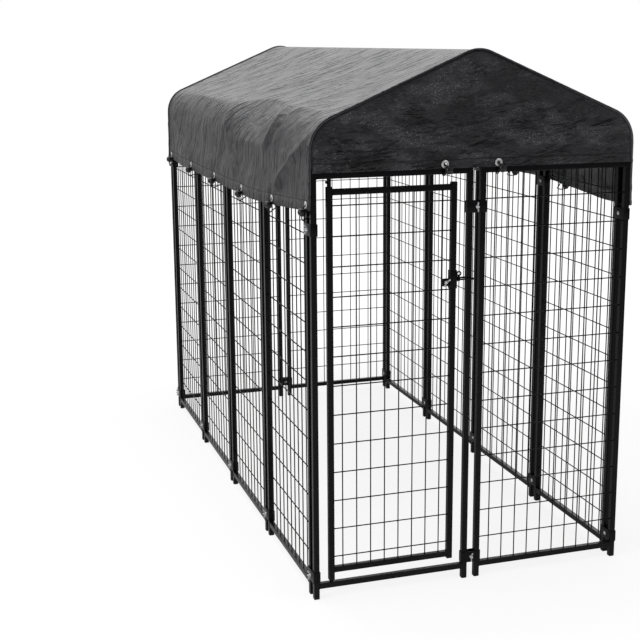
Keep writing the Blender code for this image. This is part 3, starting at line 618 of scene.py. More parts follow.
# Welded panel: two posts, two rails, upright wires outside, level wires inside, a nugget at each crossing
def panelTree():
    sockets = [(label, "Float", 0.0) for label in (
        "Post Left", "Post Right", "Low Left", "Low Right", "High Left", "High Right",
        "Rail Low", "Rail High", "Tube", "Corner", "Chamfer", "Weld", "Wire",
        "Upright First", "Upright Step", "Level First", "Level Step", "Turn",
    )]
    sockets += [("Upright Count", "Int", 10), ("Level Count", "Int", 13), ("Seed", "Int", 1)]
    sockets += [("Place", "Vector", None), ("Coat", "Material", None)]
    tree, maker, given = startTree("weldedPanel", sockets)
    left, right = given["Post Left"], given["Post Right"]
    tube, corner, chamfer, wire = given["Tube"], given["Corner"], given["Chamfer"], given["Wire"]
    uprightCount, levelCount = given["Upright Count"], given["Level Count"]
    uprightStep, levelStep = given["Upright Step"], given["Level Step"]
    pieces = []

    def addRow(count, start, offset, piece, rotation=(0, 0, 0), scale=(1, 1, 1)):
        sockets = {"Count": count, "Start Location": start, "Offset": offset}
        row = maker.add("MeshLine", sockets, {"mode": "OFFSET"})
        pieces.append(instances(maker, row, piece, rotation, scale))

    for x, end in ((left, "Left"), (right, "Right")):
        low, high = given["Low " + end], given["High " + end]
        start, end = maker.vector(x, 0, low), maker.vector(x, 0, high)
        pieces.append(tubeRun(maker, start, end, high - low, tube, corner, chamfer))
    inner = right - left - tube
    for z in (given["Rail Low"], given["Rail High"]):
        start = maker.vector(left + tube / 2 - 0.0004, 0, z)
        end = maker.vector(right - tube / 2 + 0.0004, 0, z)
        pieces.append(tubeRun(maker, start, end, inner, tube, corner, 0.00001, 0.998))
        for x in (left + tube / 2, right - tube / 2):
            pieces.append(weldRing(maker, maker.vector(x, 0, z), tube, given["Weld"], given["Seed"]))
    layer = wire * 0.42
    wireLow, wireHigh = given["Rail Low"] + tube / 2 - 0.0005, given["Rail High"] - tube / 2 + 0.0005
    along, upwards = maker.vector(uprightStep, 0, 0), maker.vector(0, 0, levelStep)
    upright = wireRun(maker, (0, 0, 0), maker.vector(0, 0, wireHigh - wireLow), wire)
    addRow(uprightCount, maker.vector(given["Upright First"], 0 - layer, wireLow), along, upright)
    level = wireRun(maker, (0, 0, 0), maker.vector(inner + 0.001, 0, 0), wire)
    addRow(levelCount, maker.vector(left + tube / 2 - 0.0005, layer, given["Level First"]), upwards, level)
    crossWide, crossHigh = uprightStep * (uprightCount - 1), levelStep * (levelCount - 1)
    sockets = {"Size X": crossWide, "Size Y": crossHigh}
    sockets |= {"Vertices X": uprightCount, "Vertices Y": levelCount}
    crossings = maker.add("MeshGrid", sockets)
    middle = maker.vector(given["Upright First"] + crossWide / 2, 0, given["Level First"] + crossHigh / 2)
    sockets = {"Geometry": crossings, "Translation": middle, "Rotation": (math.pi / 2, 0, 0)}
    crossings = maker.add("Transform", sockets)
    nugget = maker.add("MeshUVSphere", {"Segments": 8, "Rings": 4, "Radius": wire * 0.62})
    spread = scattered(maker, (0.92, 0.55, 0.92), (1.18, 0.75, 1.18), given["Seed"])
    tilt = scattered(maker, (0, -0.6, 0), (0, 0.6, 0), given["Seed"] + 7)
    pieces.append(instances(maker, crossings, nugget, tilt, spread))
    lump = maker.add("MeshUVSphere", {"Segments": 8, "Rings": 4, "Radius": wire * 0.85})
    for z in (wireLow, wireHigh):
        start = maker.vector(given["Upright First"], 0 - layer, z)
        addRow(uprightCount, start, along, lump, tilt, (1.1, 1.0, 0.55))
    for x in (left + tube / 2, right - tube / 2):
        start = maker.vector(x, layer, given["Level First"])
        addRow(levelCount, start, upwards, lump, tilt, (0.55, 1.0, 1.1))
    joined = maker.add("JoinGeometry", {0: pieces[::-1]})
    real = maker.add("RealizeInstances", {0: joined})
    turn = maker.vector(0, 0, given["Turn"])
    placed = maker.add("Transform", {"Geometry": real, "Translation": given["Place"], "Rotation": turn})
    endTree(maker, [placed], given["Coat"])
    return tree


tube = {
    "across": 0.020,
    "corner": 0.0024,
    "chamfer": 0.0008,
    "leg": 0.038,
    "weld": 0.0012,
}
wireMesh = {
    "wire": 0.0043,
    "stepAcross": 0.0508,
    "stepUp": 0.1016,
    "edgeAcross": 0.030,
    "edgeUp": 0.060,
}


def wirePlaces(low, high, step, edge):
    count = int((high - low - 2 * edge) / step) + 1
    return (low + high - (count - 1) * step) / 2, count


panelLow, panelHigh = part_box("front_panel")
panelWide = panelHigh.x - panelLow.x
panelTall = panelHigh.z
postMiddle = panelWide / 2 - tube["across"] / 2
railLow = tube["leg"] + tube["across"] / 2
railHigh = panelTall - tube["across"] / 2
innerHalf = panelWide / 2 - tube["across"]
uprightFirst, uprightCount = wirePlaces(
    -innerHalf, innerHalf, wireMesh["stepAcross"], wireMesh["edgeAcross"]
)
levelFirst, levelCount = wirePlaces(
    tube["leg"] + tube["across"], panelTall - tube["across"], wireMesh["stepUp"], wireMesh["edgeUp"]
)
weldedPanel = panelTree()
panelValues = {
    "Post Left": -postMiddle, "Post Right": postMiddle,
    "Low Left": 0.0038, "Low Right": 0.0038, "High Left": panelTall, "High Right": panelTall,
    "Rail Low": railLow, "Rail High": railHigh,
    "Tube": tube["across"], "Corner": tube["corner"], "Chamfer": tube["chamfer"], "Weld": tube["weld"],
    "Wire": wireMesh["wire"],
    "Upright First": uprightFirst, "Upright Step": wireMesh["stepAcross"], "Upright Count": uprightCount,
    "Level First": levelFirst, "Level Step": wireMesh["stepUp"], "Level Count": levelCount,
    "Coat": frameCoat,
}
panelTurns = {"front": 0.0, "gate": 0.0, "back": math.pi, "left": -math.pi / 2, "right": math.pi / 2}


def boxMiddle(node):
    low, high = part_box(node)
    return (low + high) / 2


def makePanel(node, seed, changes):
    middle = boxMiddle(node)
    values = dict(panelValues)
    values["Place"] = (middle.x, middle.y, 0)
    values["Turn"] = panelTurns[node.split("_")[0]]
    values["Seed"] = seed
    values.update(changes)
    mesh = weighted(grown(node + "_welded", weldedPanel, values))
    dressed(node + "_welded", mesh, "gate" if node == "gate_leaf" else "frame", node)


panelNodes = ["front_panel", "back_panel_1", "back_panel_2"]
panelNodes += [f"{side}_panel_{number}" for side in ("left", "right") for number in range(1, 5)]
for seed, node in enumerate(panelNodes, 1):
    makePanel(node, seed, {})
makePanel("gate_surround", 40, {"Upright Count": 0, "Level Count": 0})
leaf = {
    "hingeGap": 0.035,   # stile to the post on the hinge side
    "latchGap": 0.038,
    "railGap": 0.034,
    "overrun": 0.007,    # stile ends beyond the bars
    "footGap": 0.008,
}
frontMiddle = boxMiddle("front_panel").y
backMiddle = boxMiddle("back_panel_1").y
surroundMiddle = boxMiddle("gate_surround").x
hingeX = surroundMiddle - innerHalf + leaf["hingeGap"] + tube["across"] / 2
latchX = surroundMiddle + innerHalf - leaf["latchGap"] - tube["across"] / 2
leafLow = railLow + tube["across"] / 2 + leaf["railGap"]
leafHigh = panelTall - tube["across"] - leaf["railGap"]
leafWide = latchX - hingeX
leafFirst, leafCount = wirePlaces(
    tube["across"] / 2, leafWide - tube["across"] / 2, wireMesh["stepAcross"], wireMesh["edgeAcross"]
)
makePanel("gate_leaf", 60, {
    "Place": (hingeX, frontMiddle, 0),
    "Post Left": 0.0, "Post Right": leafWide,
    "Low Left": railLow + tube["across"] / 2 + leaf["footGap"], "Low Right": leafLow - leaf["overrun"],
    "High Left": leafHigh + leaf["overrun"], "High Right": leafHigh + leaf["overrun"],
    "Rail Low": leafLow + tube["across"] / 2, "Rail High": leafHigh - tube["across"] / 2,
    "Upright First": leafFirst, "Upright Count": leafCount,
})
print("panels:", len(panelNodes), "welded panels, the gate surround and the leaf")


# Tarp: one sheet over the roof tubes, sewn to a gable at each end
roof = {
    "pitch": math.radians(23.1),
    "eaveRise": 0.1387,    # corner of the roof line above the panels
    "eaveBend": 0.105,
    "ridgeBend": 0.100,
    "tube": 0.019,
    "postPlug": 0.045,
}
tarp = {
    "trussClear": 0.04,   # share of a bay where the cloth keeps off the rafters
    "railClear": 0.012,   # above the panels, where it keeps off the rails
    "clear": 0.0003,
    "beadRoom": 0.0017,    # flap off the weld beads
    "sheet": 0.0009,
    "flapOut": 0.0166,     # flap off the posts, over the ends of the clamp bolts
    "flapTurn": 0.128,     # height over which the flap leaves the posts
    "flapDrop": 0.165,
    "gableDrop": 0.001,
    "slopeSag": 0.015,
    "creaseEnd": 0.604,    # crease across the eave: its run at the trusses
    "creaseStop": 0.722,   # and where its facet meets the flap
    "endTurn": 0.0095,     # radius where the roof turns into a gable
    "hem": 0.040,
    "edgeBand": 0.016,
    "bandRise": 0.0006,
    "rowStep": 0.0085,
    "slopeStep": 0.028,
    "eaveStep": 0.0085,
    "flapStep": 0.0125,
    "gableRows": 34,
    "gableHem": 0.030,
    "hemWave": 0.004,
    "bungeeRise": 0.022,   # grommet above the hem
    "clampRoom": (0.20, 0.45),  # from the ends, where the flap starts to stand off for the clamps
    "leftLift": (0.888, 0.043, 1.7),
    "rightLift": (0.10, 0.80, 0.030),
    "bungees": (0.042, 0.438, 0.888, 1.368, 1.860, 2.400),
    "gableRing": 0.0150,
    "rightBungees": (0.060, 0.520, 0.960, 1.440, 1.920, 2.400),
    "gableBungees": (-0.119, 0.076),
    "grommetHole": 0.0055,
}
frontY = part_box("gate_surround")[0].y
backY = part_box("back_panel_1")[1].y
roofLong = backY - frontY
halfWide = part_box("right_panel_1")[1].x
postX = halfWide - tube["across"] / 2
eaveZ = panelTall + roof["eaveRise"]
cornerZ = eaveZ + postX * math.tan(roof["pitch"])
flapHem = panelTall - tarp["flapDrop"]
gableHemZ = panelTall - tarp["gableDrop"]
trussY = [boxMiddle(f"{place}_rafter_left").y for place in ("front", "middle", "back")]


def bent(low, high, value):
    share = min(1.0, max(0.0, (value - low) / (high - low)))
    return share * share * (3 - 2 * share)


def between(first, last, share):
    return tuple(low + (high - low) * share for low, high in zip(first, last))


# Right half of the roof line, from the ridge to the hem, clear of the tube by its own radius
def halfSection(clear):
    pitch, turn = roof["pitch"], math.pi / 2 - roof["pitch"]
    ridgeRadius, eaveRadius = roof["ridgeBend"] + clear, roof["eaveBend"] + clear
    ridgeMiddle = cornerZ - roof["ridgeBend"] / math.cos(pitch)
    eaveX, eaveMiddle = postX - roof["eaveBend"], eaveZ - roof["eaveBend"] * math.tan(turn / 2)
    line = []
    for step in range(9):
        angle = pitch * step / 8
        line.append((ridgeRadius * math.sin(angle), ridgeMiddle + ridgeRadius * math.cos(angle)))
    first, last = line[-1], (eaveX + eaveRadius * math.cos(turn), eaveMiddle + eaveRadius * math.sin(turn))
    line += [between(first, last, step / 40) for step in range(1, 40)]
    for step in range(17):
        angle = turn * (1 - step / 16)
        line.append((eaveX + eaveRadius * math.cos(angle), eaveMiddle + eaveRadius * math.sin(angle)))
    return line


sectionLine = halfSection(roof["tube"] / 2 + tarp["clear"])
wallTop = sectionLine[-1][1]
for wallStep in range(1, 41):
    height = wallTop + (flapHem - wallTop) * wallStep / 40
    swing = bent(gableHemZ, gableHemZ - tarp["flapTurn"], height) if height < gableHemZ else 0.0
    sectionLine.append((halfWide + tarp["clear"] + tarp["flapOut"] * swing, height))
sectionRuns = [0.0]
for before, after in zip(sectionLine, sectionLine[1:]):
    sectionRuns.append(sectionRuns[-1] + math.dist(before, after))
hemRun = sectionRuns[-1]
gableRun = next(run for run, spot in zip(sectionRuns, sectionLine) if spot[1] <= gableHemZ + 0.001)


# Place and outward direction on the unsagged section, run metres from the ridge
def sectionAt(run):
    run = min(max(run, 0.0), hemRun)
    low = min(bisect.bisect_right(sectionRuns, run), len(sectionRuns) - 1) - 1
    share = (run - sectionRuns[low]) / (sectionRuns[low + 1] - sectionRuns[low])
    spot = between(sectionLine[low], sectionLine[low + 1], share)
    ahead = Vector(sectionLine[min(low + 2, len(sectionLine) - 1)])
    heading = (ahead - Vector(sectionLine[max(low - 1, 0)])).normalized()
    return spot, (-heading.y, heading.x)


# Facets between the trusses as (from, to, run of the crease at its highest, depth share)
leftFacets = (
    (0.020, 0.452, 0.532, 0.55),
    (0.462, 1.196, 0.498, 0.86),
    (1.222, 2.430, 0.572, 0.50),
)
rightFacets = (
    (0.030, 1.240, 0.540, 0.60),
    (1.270, 2.000, 0.515, 0.75),
    (2.010, 2.440, 0.545, 0.50),
)


# How far the roof line stands out from a straight line between two of its places
def chordRise(run, start, stop):
    if not start < run < stop:
        return 0.0
    firstX, firstZ = sectionAt(start)[0]
    lastX, lastZ = sectionAt(stop)[0]
    (x, z), (outX, outZ) = sectionAt(run)
    normalX, normalZ = firstZ - lastZ, lastX - firstX
    return ((x - firstX) * normalX + (z - firstZ) * normalZ) / (outX * normalX + outZ * normalZ)


def facetDrop(side, run, along):
    for low, high, highest, depth in leftFacets if side < 0 else rightFacets:
        if low < along < high:
            swell = math.sin(math.pi * (along - low) / (high - low))
            start = tarp["creaseEnd"] + (highest - tarp["creaseEnd"]) * swell ** 0.6
            return depth * swell ** 0.7 * chordRise(run, start, tarp["creaseStop"])
    return 0.0


# The flap is cut a little shorter towards the front on the left, and along the right
def lifted(side, run, along):
    if run < 0.70:
        return run
    if side < 0:
        far, most, power = tarp["leftLift"]
        lift = most * max(0.0, (far - along) / far) ** power
    else:
        near, far, most = tarp["rightLift"]
        lift = 0.008 + most * bent(near, far, along) * bent(roofLong, roofLong - 0.9, along)
    return 0.70 + (run - 0.70) * (1 - lift / (hemRun - 0.70))


def inMetres(value):
    return tuple(inMetres(part) for part in value) if isinstance(value, tuple) else value / 1000


# Folds of the cloth as (height, width, places) in millimetres, each place (from the ridge, from the front)
leftFolds = inMetres((
    (-7.5, 20, ((600, 1200), (700, 1120), (800, 1010), (895, 900))),
    (5, 26, ((600, 1250), (700, 1190), (800, 1090), (880, 960))),
    (4.5, 24, ((610, 1140), (700, 1060), (800, 950))),
    (6.5, 18, ((500, 600), (560, 500), (616, 475), (680, 540), (740, 620))),
    (-7.5, 16, ((515, 560), (570, 455), (620, 430), (690, 500), (750, 585))),
    (6, 60, ((540, 380), (600, 240))),
    (7, 22, ((600, 0), (704, 150), (812, 340), (890, 425))),
    (-6, 18, ((630, 0), (730, 120), (830, 300), (895, 405))),
    (-5, 18, ((690, 2430), (752, 2330), (820, 2150), (896, 1900))),
    (5, 24, ((660, 2400), (740, 2270), (820, 2070), (880, 1900))),
    (4, 20, ((650, 1240), (760, 1280), (880, 1350))),
    (-4, 18, ((660, 1210), (780, 1240), (890, 1330))),
    (3, 14, ((524, 1240), (400, 1110), (244, 940))),
    (-2.5, 12, ((540, 1180), (420, 1040), (280, 860))),
    (2.8, 14, ((560, 560), (430, 430), (300, 330), (160, 260))),
    (-2.2, 12, ((480, 760), (360, 620), (220, 520))),
    (2.2, 13, ((420, 1650), (300, 1480), (180, 1370))),
    (-2, 12, ((500, 1950), (380, 1800), (260, 1720))),
))


# On the right they run the other way, a little lower
rightFolds = tuple((height * 0.9, width, tuple((run, roofLong - far + 0.02) for run, far in places))
                   for height, width, places in leftFolds)


# Sum of the folds at a place; raised and sunk scale them, and they fade over span at their ends
def foldHeight(folds, place, raised, sunk, span, least=0):
    total = 0.0
    for height, width, places in folds:
        if all(abs(spot[1] - place[1]) > 3 * width + 0.3 for spot in places):
            continue
        nearest, share = math.inf, 0.0
        count = len(places) - 1
        for index, ((ax, ay), (bx, by)) in enumerate(zip(places, places[1:])):
            dx, dy = bx - ax, by - ay
            part = ((place[0] - ax) * dx + (place[1] - ay) * dy) / (dx * dx + dy * dy)
            part = min(1.0, max(0.0, part))
            gap = math.hypot(place[0] - ax - dx * part, place[1] - ay - dy * part)
            if gap < nearest:
                nearest, share = gap, (index + part) / count
        if nearest < 3 * width:
            fade = bent(0.0, span, share) * bent(0.0, span, 1 - share) if count > least else 1.0
            strength = raised if height > 0 else sunk
            total += strength * height * fade * math.exp(-(nearest / width) ** 1.15)
    return total


def bayShare(along):
    y = frontY + along
    edge = roof["tube"] / 2 + 0.0012
    for low, high in zip(trussY, trussY[1:]):
        if low <= y <= high:
            share = (y - low - edge) / (high - low - 2 * edge)
            return math.sin(math.pi * min(1.0, max(0.0, share)))
    return 0.0


def ripple(side, across, along):
    flap = bent(0.60, 0.72, across)
    lean = across * 0.72 + along * 0.69
    cross = across * 0.69 - along * 0.72
    slopeNoise = noise.noise(Vector((cross * 24, lean * 3.2, side * 7)))
    slopeFine = noise.noise(Vector((cross * 58, lean * 6, side * 7 + 20)))
    flapNoise = noise.noise(Vector((along * 21, across * 4.5, side * 5 + 40)))
    flapFine = noise.noise(Vector((along * 47, across * 9, side * 5 + 60)))
    broad = noise.noise(Vector((along * 5, across * 5, side * 3 + 80)))
    slopes = slopeNoise * 0.0022 + slopeFine * 0.0010
    flaps = flapNoise * 0.0022 + flapFine * 0.0008
    return broad * (0.0022 + 0.0030 * flap) + slopes * (1 - flap) + flaps * flap


def gather(places, across, along):
    grommetRun = hemRun - tarp["bungeeRise"]
    total = 0.0
    for place in places:
        far = math.hypot(along - place, across - grommetRun)
        if far < 0.16:
            angle = math.atan2(along - place, grommetRun - across)
            total -= 0.0045 * math.exp(-(far / 0.035) ** 2)
            total += 0.0022 * math.cos(7 * angle) * math.exp(-((far - 0.055) / 0.035) ** 2)
    return total


# Folds are left out close to a grommet, whose ring holds the cloth flat
def heldFlat(places, run, along):
    middle = hemRun - tarp["bungeeRise"]
    for place in places:
        pull = bent(0.032, 0.017, math.hypot(along - place, run - middle))
        if pull > 0:
            return run + (middle - run) * pull, along + (place - along) * pull
    return run, along


# Inner face of the cloth; across is metres from the ridge, negative on the left, and along from the front
def clothPoint(across, along, inset=0.0):
    side, run = (-1 if across < 0 else 1), abs(across)
    (x, z), (outX, outZ) = sectionAt(lifted(side, run, along))
    near, far = tarp["clampRoom"]
    middle = bent(near, far, along) * bent(roofLong - near, roofLong - far, along)
    x -= tarp["flapOut"] * bent(gableHemZ, gableHemZ - tarp["flapTurn"], z) * (1 - middle) * 0.85
    bay = bayShare(along)
    slopeShare = min(1.0, max(0.0, (run - 0.044) / 0.514))
    rise = -bay * tarp["slopeSag"] * math.sin(math.pi * slopeShare) - facetDrop(side, run, along)
    free = 0.30 + 0.70 * min(1.0, bay * 1.6)
    free *= bent(0.0, 0.05, along) * bent(0.0, 0.05, roofLong - along) * 0.85 + 0.15
    ridgeFade = bent(0.01, 0.10, run)
    folds = leftFolds if side < 0 else rightFolds
    places = tarp["bungees"] if side < 0 else tarp["rightBungees"]
    still, kept = heldFlat(places, run, along)
    rise += foldHeight(folds, (still, kept), 2.1, 1.35, 0.22, 1) * (0.35 + 0.65 * free)
    rise += ripple(side, still, kept) * free * ridgeFade
    hanging = bent(hemRun - 0.16, hemRun - 0.02, run)
    if hanging > 0:
        rise += gather(places, still, kept) * hanging
        for low, high in zip(places, places[1:]):
            if low < along < high:
                swell = math.sin(math.pi * (along - low) / (high - low))
                rise += tarp["hemWave"] * swell * swell * hanging
    rise = max(rise, -0.0075 * middle) if run > 0.722 else rise
    if bay < tarp["trussClear"]:
        rise = max(rise, 0.0)
    if z < panelTall + tarp["railClear"]:
        rise = max(rise, halfWide + tarp["beadRoom"] - x)
    if run > hemRun - tarp["hem"]:
        rise += tarp["bandRise"]
    if min(along, roofLong - along) < tarp["edgeBand"] and run < gableRun:
        rise += tarp["bandRise"]
    rise -= inset
    return Vector((side * (x + outX * rise), frontY + along, z + outZ * rise))


def spaced(low, high, step):
    count = max(1, round((high - low) / step))
    return [low + (high - low) * index / count for index in range(count)]


# Puts exact lines among evenly spaced ones, and drops the neighbours that crowd them
def withExact(values, exact, crowd):
    kept = [value for value in values if all(abs(value - place) > crowd for place in exact)]
    return sorted(kept + list(exact))


def tarpColumns():
    slopeStart, slopeEnd, wallStart = sectionRuns[8], sectionRuns[48], sectionRuns[64]
    eaveStart, eaveEnd = slopeEnd - 0.085, wallStart + 0.050
    runs = spaced(0.0, slopeStart, 0.015) + spaced(slopeStart, eaveStart, tarp["slopeStep"])
    runs += spaced(eaveStart, eaveEnd, tarp["eaveStep"])
    runs += spaced(eaveEnd, hemRun, tarp["flapStep"]) + [hemRun]
    hemLine = hemRun - tarp["hem"]
    exact = (gableRun, hemLine - 0.0003, hemLine + 0.0003, hemRun - tarp["bungeeRise"])
    half = withExact(runs, exact, 0.0042)
    return [-run for run in half[:0:-1]] + half


def tarpRows():
    turn, band = tarp["endTurn"], tarp["edgeBand"]
    rows = spaced(turn, roofLong - turn, tarp["rowStep"]) + [roofLong - turn]
    exact = [band - 0.0003, band + 0.0003, roofLong - band - 0.0003, roofLong - band + 0.0003]
    rows = withExact(rows, exact, 0.002)
    return withExact(rows, sorted({*tarp["bungees"], *tarp["rightBungees"]}), 0.003)


# Folds of the two gables as (height, width, places) in millimetres, each place (across, up)
gableFolds = inMetres((
    (6, 16, ((-560, 1650), (-519, 1600), (-470, 1535), (-430, 1480))),
    (-5, 13, ((-545, 1628), (-495, 1565), (-455, 1490))),
    (4.5, 20, ((-520, 1660), (-400, 1590), (-260, 1520), (-119, 1500))),
    (-3.5, 16, ((-460, 1650), (-340, 1590), (-220, 1550))),
    (5, 30, ((-300, 1710), (-197, 1700), (-80, 1670))),
    (4.5, 20, ((540, 1660), (365, 1640), (200, 1590), (76, 1500))),
    (-3.5, 16, ((530, 1630), (380, 1600), (240, 1560))),
    (4, 13, ((400, 1735), (290, 1690), (140, 1680), (20, 1700))),
    (-3, 11, ((380, 1712), (280, 1672), (140, 1662))),
    (3.5, 12, ((250, 1640), (120, 1610), (10, 1590), (-120, 1562))),
    (-3, 10, ((220, 1620), (100, 1592), (-60, 1560))),
    (5, 16, ((-40, 1835), (-10, 1790), (30, 1740))),
    (-3.5, 12, ((0, 1830), (30, 1780), (80, 1735))),
    (3.5, 14, ((-119, 1500), (76, 1500))),
))


def gableRise(end, x, z, share):
    belly = 0.0050 * math.sin(math.pi * min(1.0, share * 1.1))
    folds = foldHeight(gableFolds, (x if end == 0 else -x, z), 2.0, 2.0, 0.2)
    long = noise.noise(Vector((x * 5 + z * 3, z * 27 - x * 4, end * 9 + 3)))
    fine = noise.noise(Vector((x * 12 - z * 5, z * 55, end * 9 + 13)))
    blot = noise.noise(Vector((x * 9, z * 9, end * 9 + 23)))
    rise = (belly + folds + long * 0.0028 + fine * 0.0012 + blot * 0.0022) * bent(0.0, 0.16, share)
    near = 1.0 - bent(0.0, 0.012, z - gableHemZ)
    rise = rise * (1 - near) + max(rise, 0.0002) * near
    for place in tarp["gableBungees"]:
        rise *= bent(0.016, 0.050, math.hypot(x - place, z - gableHemZ - tarp["gableRing"]))
    return rise + tarp["bandRise"] * (1 - bent(tarp["gableHem"] - 0.004, tarp["gableHem"], z - gableHemZ))


def sheetMesh():
    mesh = bmesh.new()
    sheet = mesh.loops.layers.uv.new("cutSheet")
    columns, rows = tarpColumns(), tarpRows()
    turn, turnSteps = tarp["endTurn"], 4
    grid = {}
    for columnIndex, across in enumerate(columns):
        folded = turn if abs(across) <= gableRun + 0.0001 else 0.0
        line = []
        for step in range(turnSteps, 0, -1):
            angle = math.pi / 2 * step / turnSteps
            line.append((turn - (turn + tarp["clear"]) * math.sin(angle), folded * (1 - math.cos(angle))))
        ends = [(roofLong - along, inset) for along, inset in reversed(line)]
        line += [(along, 0.0) for along in rows] + ends
        for rowIndex, (along, inset) in enumerate(line):
            spot = mesh.verts.new(clothPoint(across, along, inset))
            grid[columnIndex, rowIndex] = (spot, (across, along))
    lastRow = rowIndex
    for columnIndex in range(len(columns) - 1):
        for row in range(lastRow):
            corners = [grid[columnIndex, row], grid[columnIndex + 1, row]]
            corners += [grid[columnIndex + 1, row + 1], grid[columnIndex, row + 1]]
            face = mesh.faces.new([vert for vert, place in corners])
            for loop, (vert, place) in zip(face.loops, corners):
                loop[sheet].uv = place
    inner = [index for index, across in enumerate(columns) if abs(across) <= gableRun + 0.0001]
    widest = halfWide + tarp["clear"]
    for end, row in ((0, 0), (1, lastRow)):
        outward = -1 if end == 0 else 1
        above = {index: grid[index, row][0] for index in inner}
        tops = {index: above[index].co.copy() for index in inner}
        for step in range(1, tarp["gableRows"] + 1):
            share = step / tarp["gableRows"]
            below = {}
            for index in inner:
                top = tops[index]
                even = 0.5 * top.x / widest + 0.5 * columns[index] / gableRun
                x = top.x + (widest * even - top.x) * share
                z = top.z + (gableHemZ - top.z) * share
                depth = min(share, 1.0) * min(abs(top.z - gableHemZ), 0.12) / 0.12
                rise = gableRise(end, x, z, depth)
                below[index] = mesh.verts.new((x, top.y + outward * rise, z))
            for left, right in zip(inner, inner[1:]):
                ring = [above[left], below[left], below[right], above[right]]
                face = mesh.faces.new(ring if end == 0 else ring[::-1])
                for loop in face.loops:
                    loop[sheet].uv = (3.0 + loop.vert.co.x, loop.vert.co.z)
            above = below
    return mesh


# Opens the sheet at a grommet: the nearest point is moved there and cut out
def openHole(mesh, place):
    nearest = min(mesh.verts, key=lambda vert: (vert.co - place).length_squared)
    nearest.co.x, nearest.co.z = place.x, place.z
    made = bmesh.ops.bevel(mesh, geom=[nearest], offset=tarp["grommetHole"], segments=1, affect="VERTICES")
    around = [face for face in made["faces"] if len(face.verts) == 4]
    hole = min(around, key=lambda face: face.calc_area())
    bmesh.ops.delete(mesh, geom=[hole], context="FACES_ONLY")


def grommetSpots():
    spots = []
    run = hemRun - tarp["bungeeRise"]
    for side in (-1, 1):
        for along in tarp["bungees"] if side < 0 else tarp["rightBungees"]:
            spots.append((clothPoint(side * run, along), (side, 0)))
    for end in (-1, 1):
        y = frontY - tarp["clear"] if end < 0 else backY + tarp["clear"]
        for x in tarp["gableBungees"]:
            spots.append((Vector((x, y, gableHemZ + tarp["gableRing"])), (0, end)))
    return spots


def makeTarp():
    mesh = sheetMesh()
    for spot in grommetSpots():
        openHole(mesh, spot[0])
    faceArea = sum(face.calc_area() for face in mesh.faces)
    data = bpy.data.meshes.new("tarpSheet")
    mesh.to_mesh(data)
    mesh.free()
    holder = linked("tarpHolder", data)
    thick = holder.modifiers.new("cloth", "SOLIDIFY")
    thick.thickness = tarp["sheet"]
    thick.offset = 1.0
    data = settled(holder, "tarp")
    data.shade_smooth()
    data.set_sharp_from_angle(angle=math.radians(55))
    data.materials.clear()
    data.materials.append(wovenTarp)
    piece = dressed("tarp", data, "frame", "canopy")
    ridgeHigh = sectionLine[0][1]
    flat = (2 * hemRun, roofLong + 2 * (ridgeHigh - gableHemZ))
    print(f"tarp: flat {flat[0]:.3f} by {flat[1]:.3f}, area {faceArea:.3f}, {len(data.polygons)} faces")
    return piece, flat, faceArea


tarpPiece, tarpFlat, tarpArea = makeTarp()
print("tarp: done")


# Round runs through chains of points; the x of a point's facing is the radius there
def roundRunTree():
    sockets = [
        ("Geometry", "Geometry", None), ("Sides", "Int", 12), ("Girth", "Float", 1.0),
        ("Layer", "String", "cord"), ("Coat", "Material", None),
    ]
    tree, maker, given = startTree("roundRun", sockets)
    carried = maker.add("InputNamedAttribute", {"Name": "facing"}, {"data_type": "FLOAT_VECTOR"})
    thick = maker.add("SeparateXYZ", {0: carried})
    curve = maker.add("MeshToCurve", {0: given["Geometry"]})
    curve = maker.add("SetCurveRadius", {"Curve": curve, "Radius": thick})
    spline = maker.add("SplineParameter")
    curve, length = captured(maker, curve, spline.other("Length"))
    sockets = {"Resolution": given["Sides"], "Radius": 1.0}
    ring = maker.add("CurvePrimitiveCircle", sockets, {"mode": "RADIUS"})
    ring, around = captured(maker, ring, spline.other("Factor"))
    radius = maker.add("InputRadius")
    sockets = {"Curve": curve, "Profile Curve": ring, "Fill Caps": True, "Scale": radius}
    mesh = maker.add("CurveToMesh", sockets)
    settings = {"data_type": "FLOAT2", "domain": "CORNER"}
    place = maker.vector(around * given["Girth"], length, 0)
    sockets = {"Geometry": mesh, "Name": given["Layer"], "Value": place}
    endTree(maker, [maker.add("StoreNamedAttribute", sockets, settings)], given["Coat"])
    return tree


# A value kept on a curve's points for use after it has become a mesh
def captured(maker, curve, value):
    node = maker.tree.nodes.new("GeometryNodeCaptureAttribute")
    node.capture_items.new("FLOAT", "Kept")
    maker.feed(node.inputs["Geometry"], curve)
    maker.feed(node.inputs["Kept"], value)
    return Flow(maker, node.outputs["Geometry"]), Flow(maker, node.outputs["Kept"])


roundRun = roundRunTree()


# Chains are lists of (place, radius)
def chained(chains):
    spots, edges = [], []
    for chain in chains:
        start = len(spots)
        spots += [(tuple(place), (radius, 0, 0)) for place, radius in chain]
        edges += [(index, index + 1) for index in range(start, len(spots) - 1)]
    return spots, edges


# Each chain is made into one round run of the same mesh
def runMesh(name, chains, material, sides=20, girth=1.0, layer="cord"):
    spots, edges = chained(chains)
    values = {"Sides": sides, "Girth": girth, "Layer": layer, "Coat": material}
    mesh = grown(name, roundRun, values, spots, edges)
    mesh.shade_smooth()
    mesh.set_sharp_from_angle(angle=math.radians(40))
    return mesh


def circle(sides):
    angles = [2 * math.pi * step / sides for step in range(sides)]
    return [(math.cos(angle), math.sin(angle)) for angle in angles]


def joinRings(mesh, rings, sides):
    for lower, upper in zip(rings, rings[1:]):
        for step in range(sides):
            following = (step + 1) % sides
            corners = [lower[step % len(lower)], lower[following % len(lower)],
                       upper[following % len(upper)], upper[step % len(upper)]]
            distinct = list(dict.fromkeys(corners))
            if len(distinct) > 2:
                mesh.faces.new(distinct)


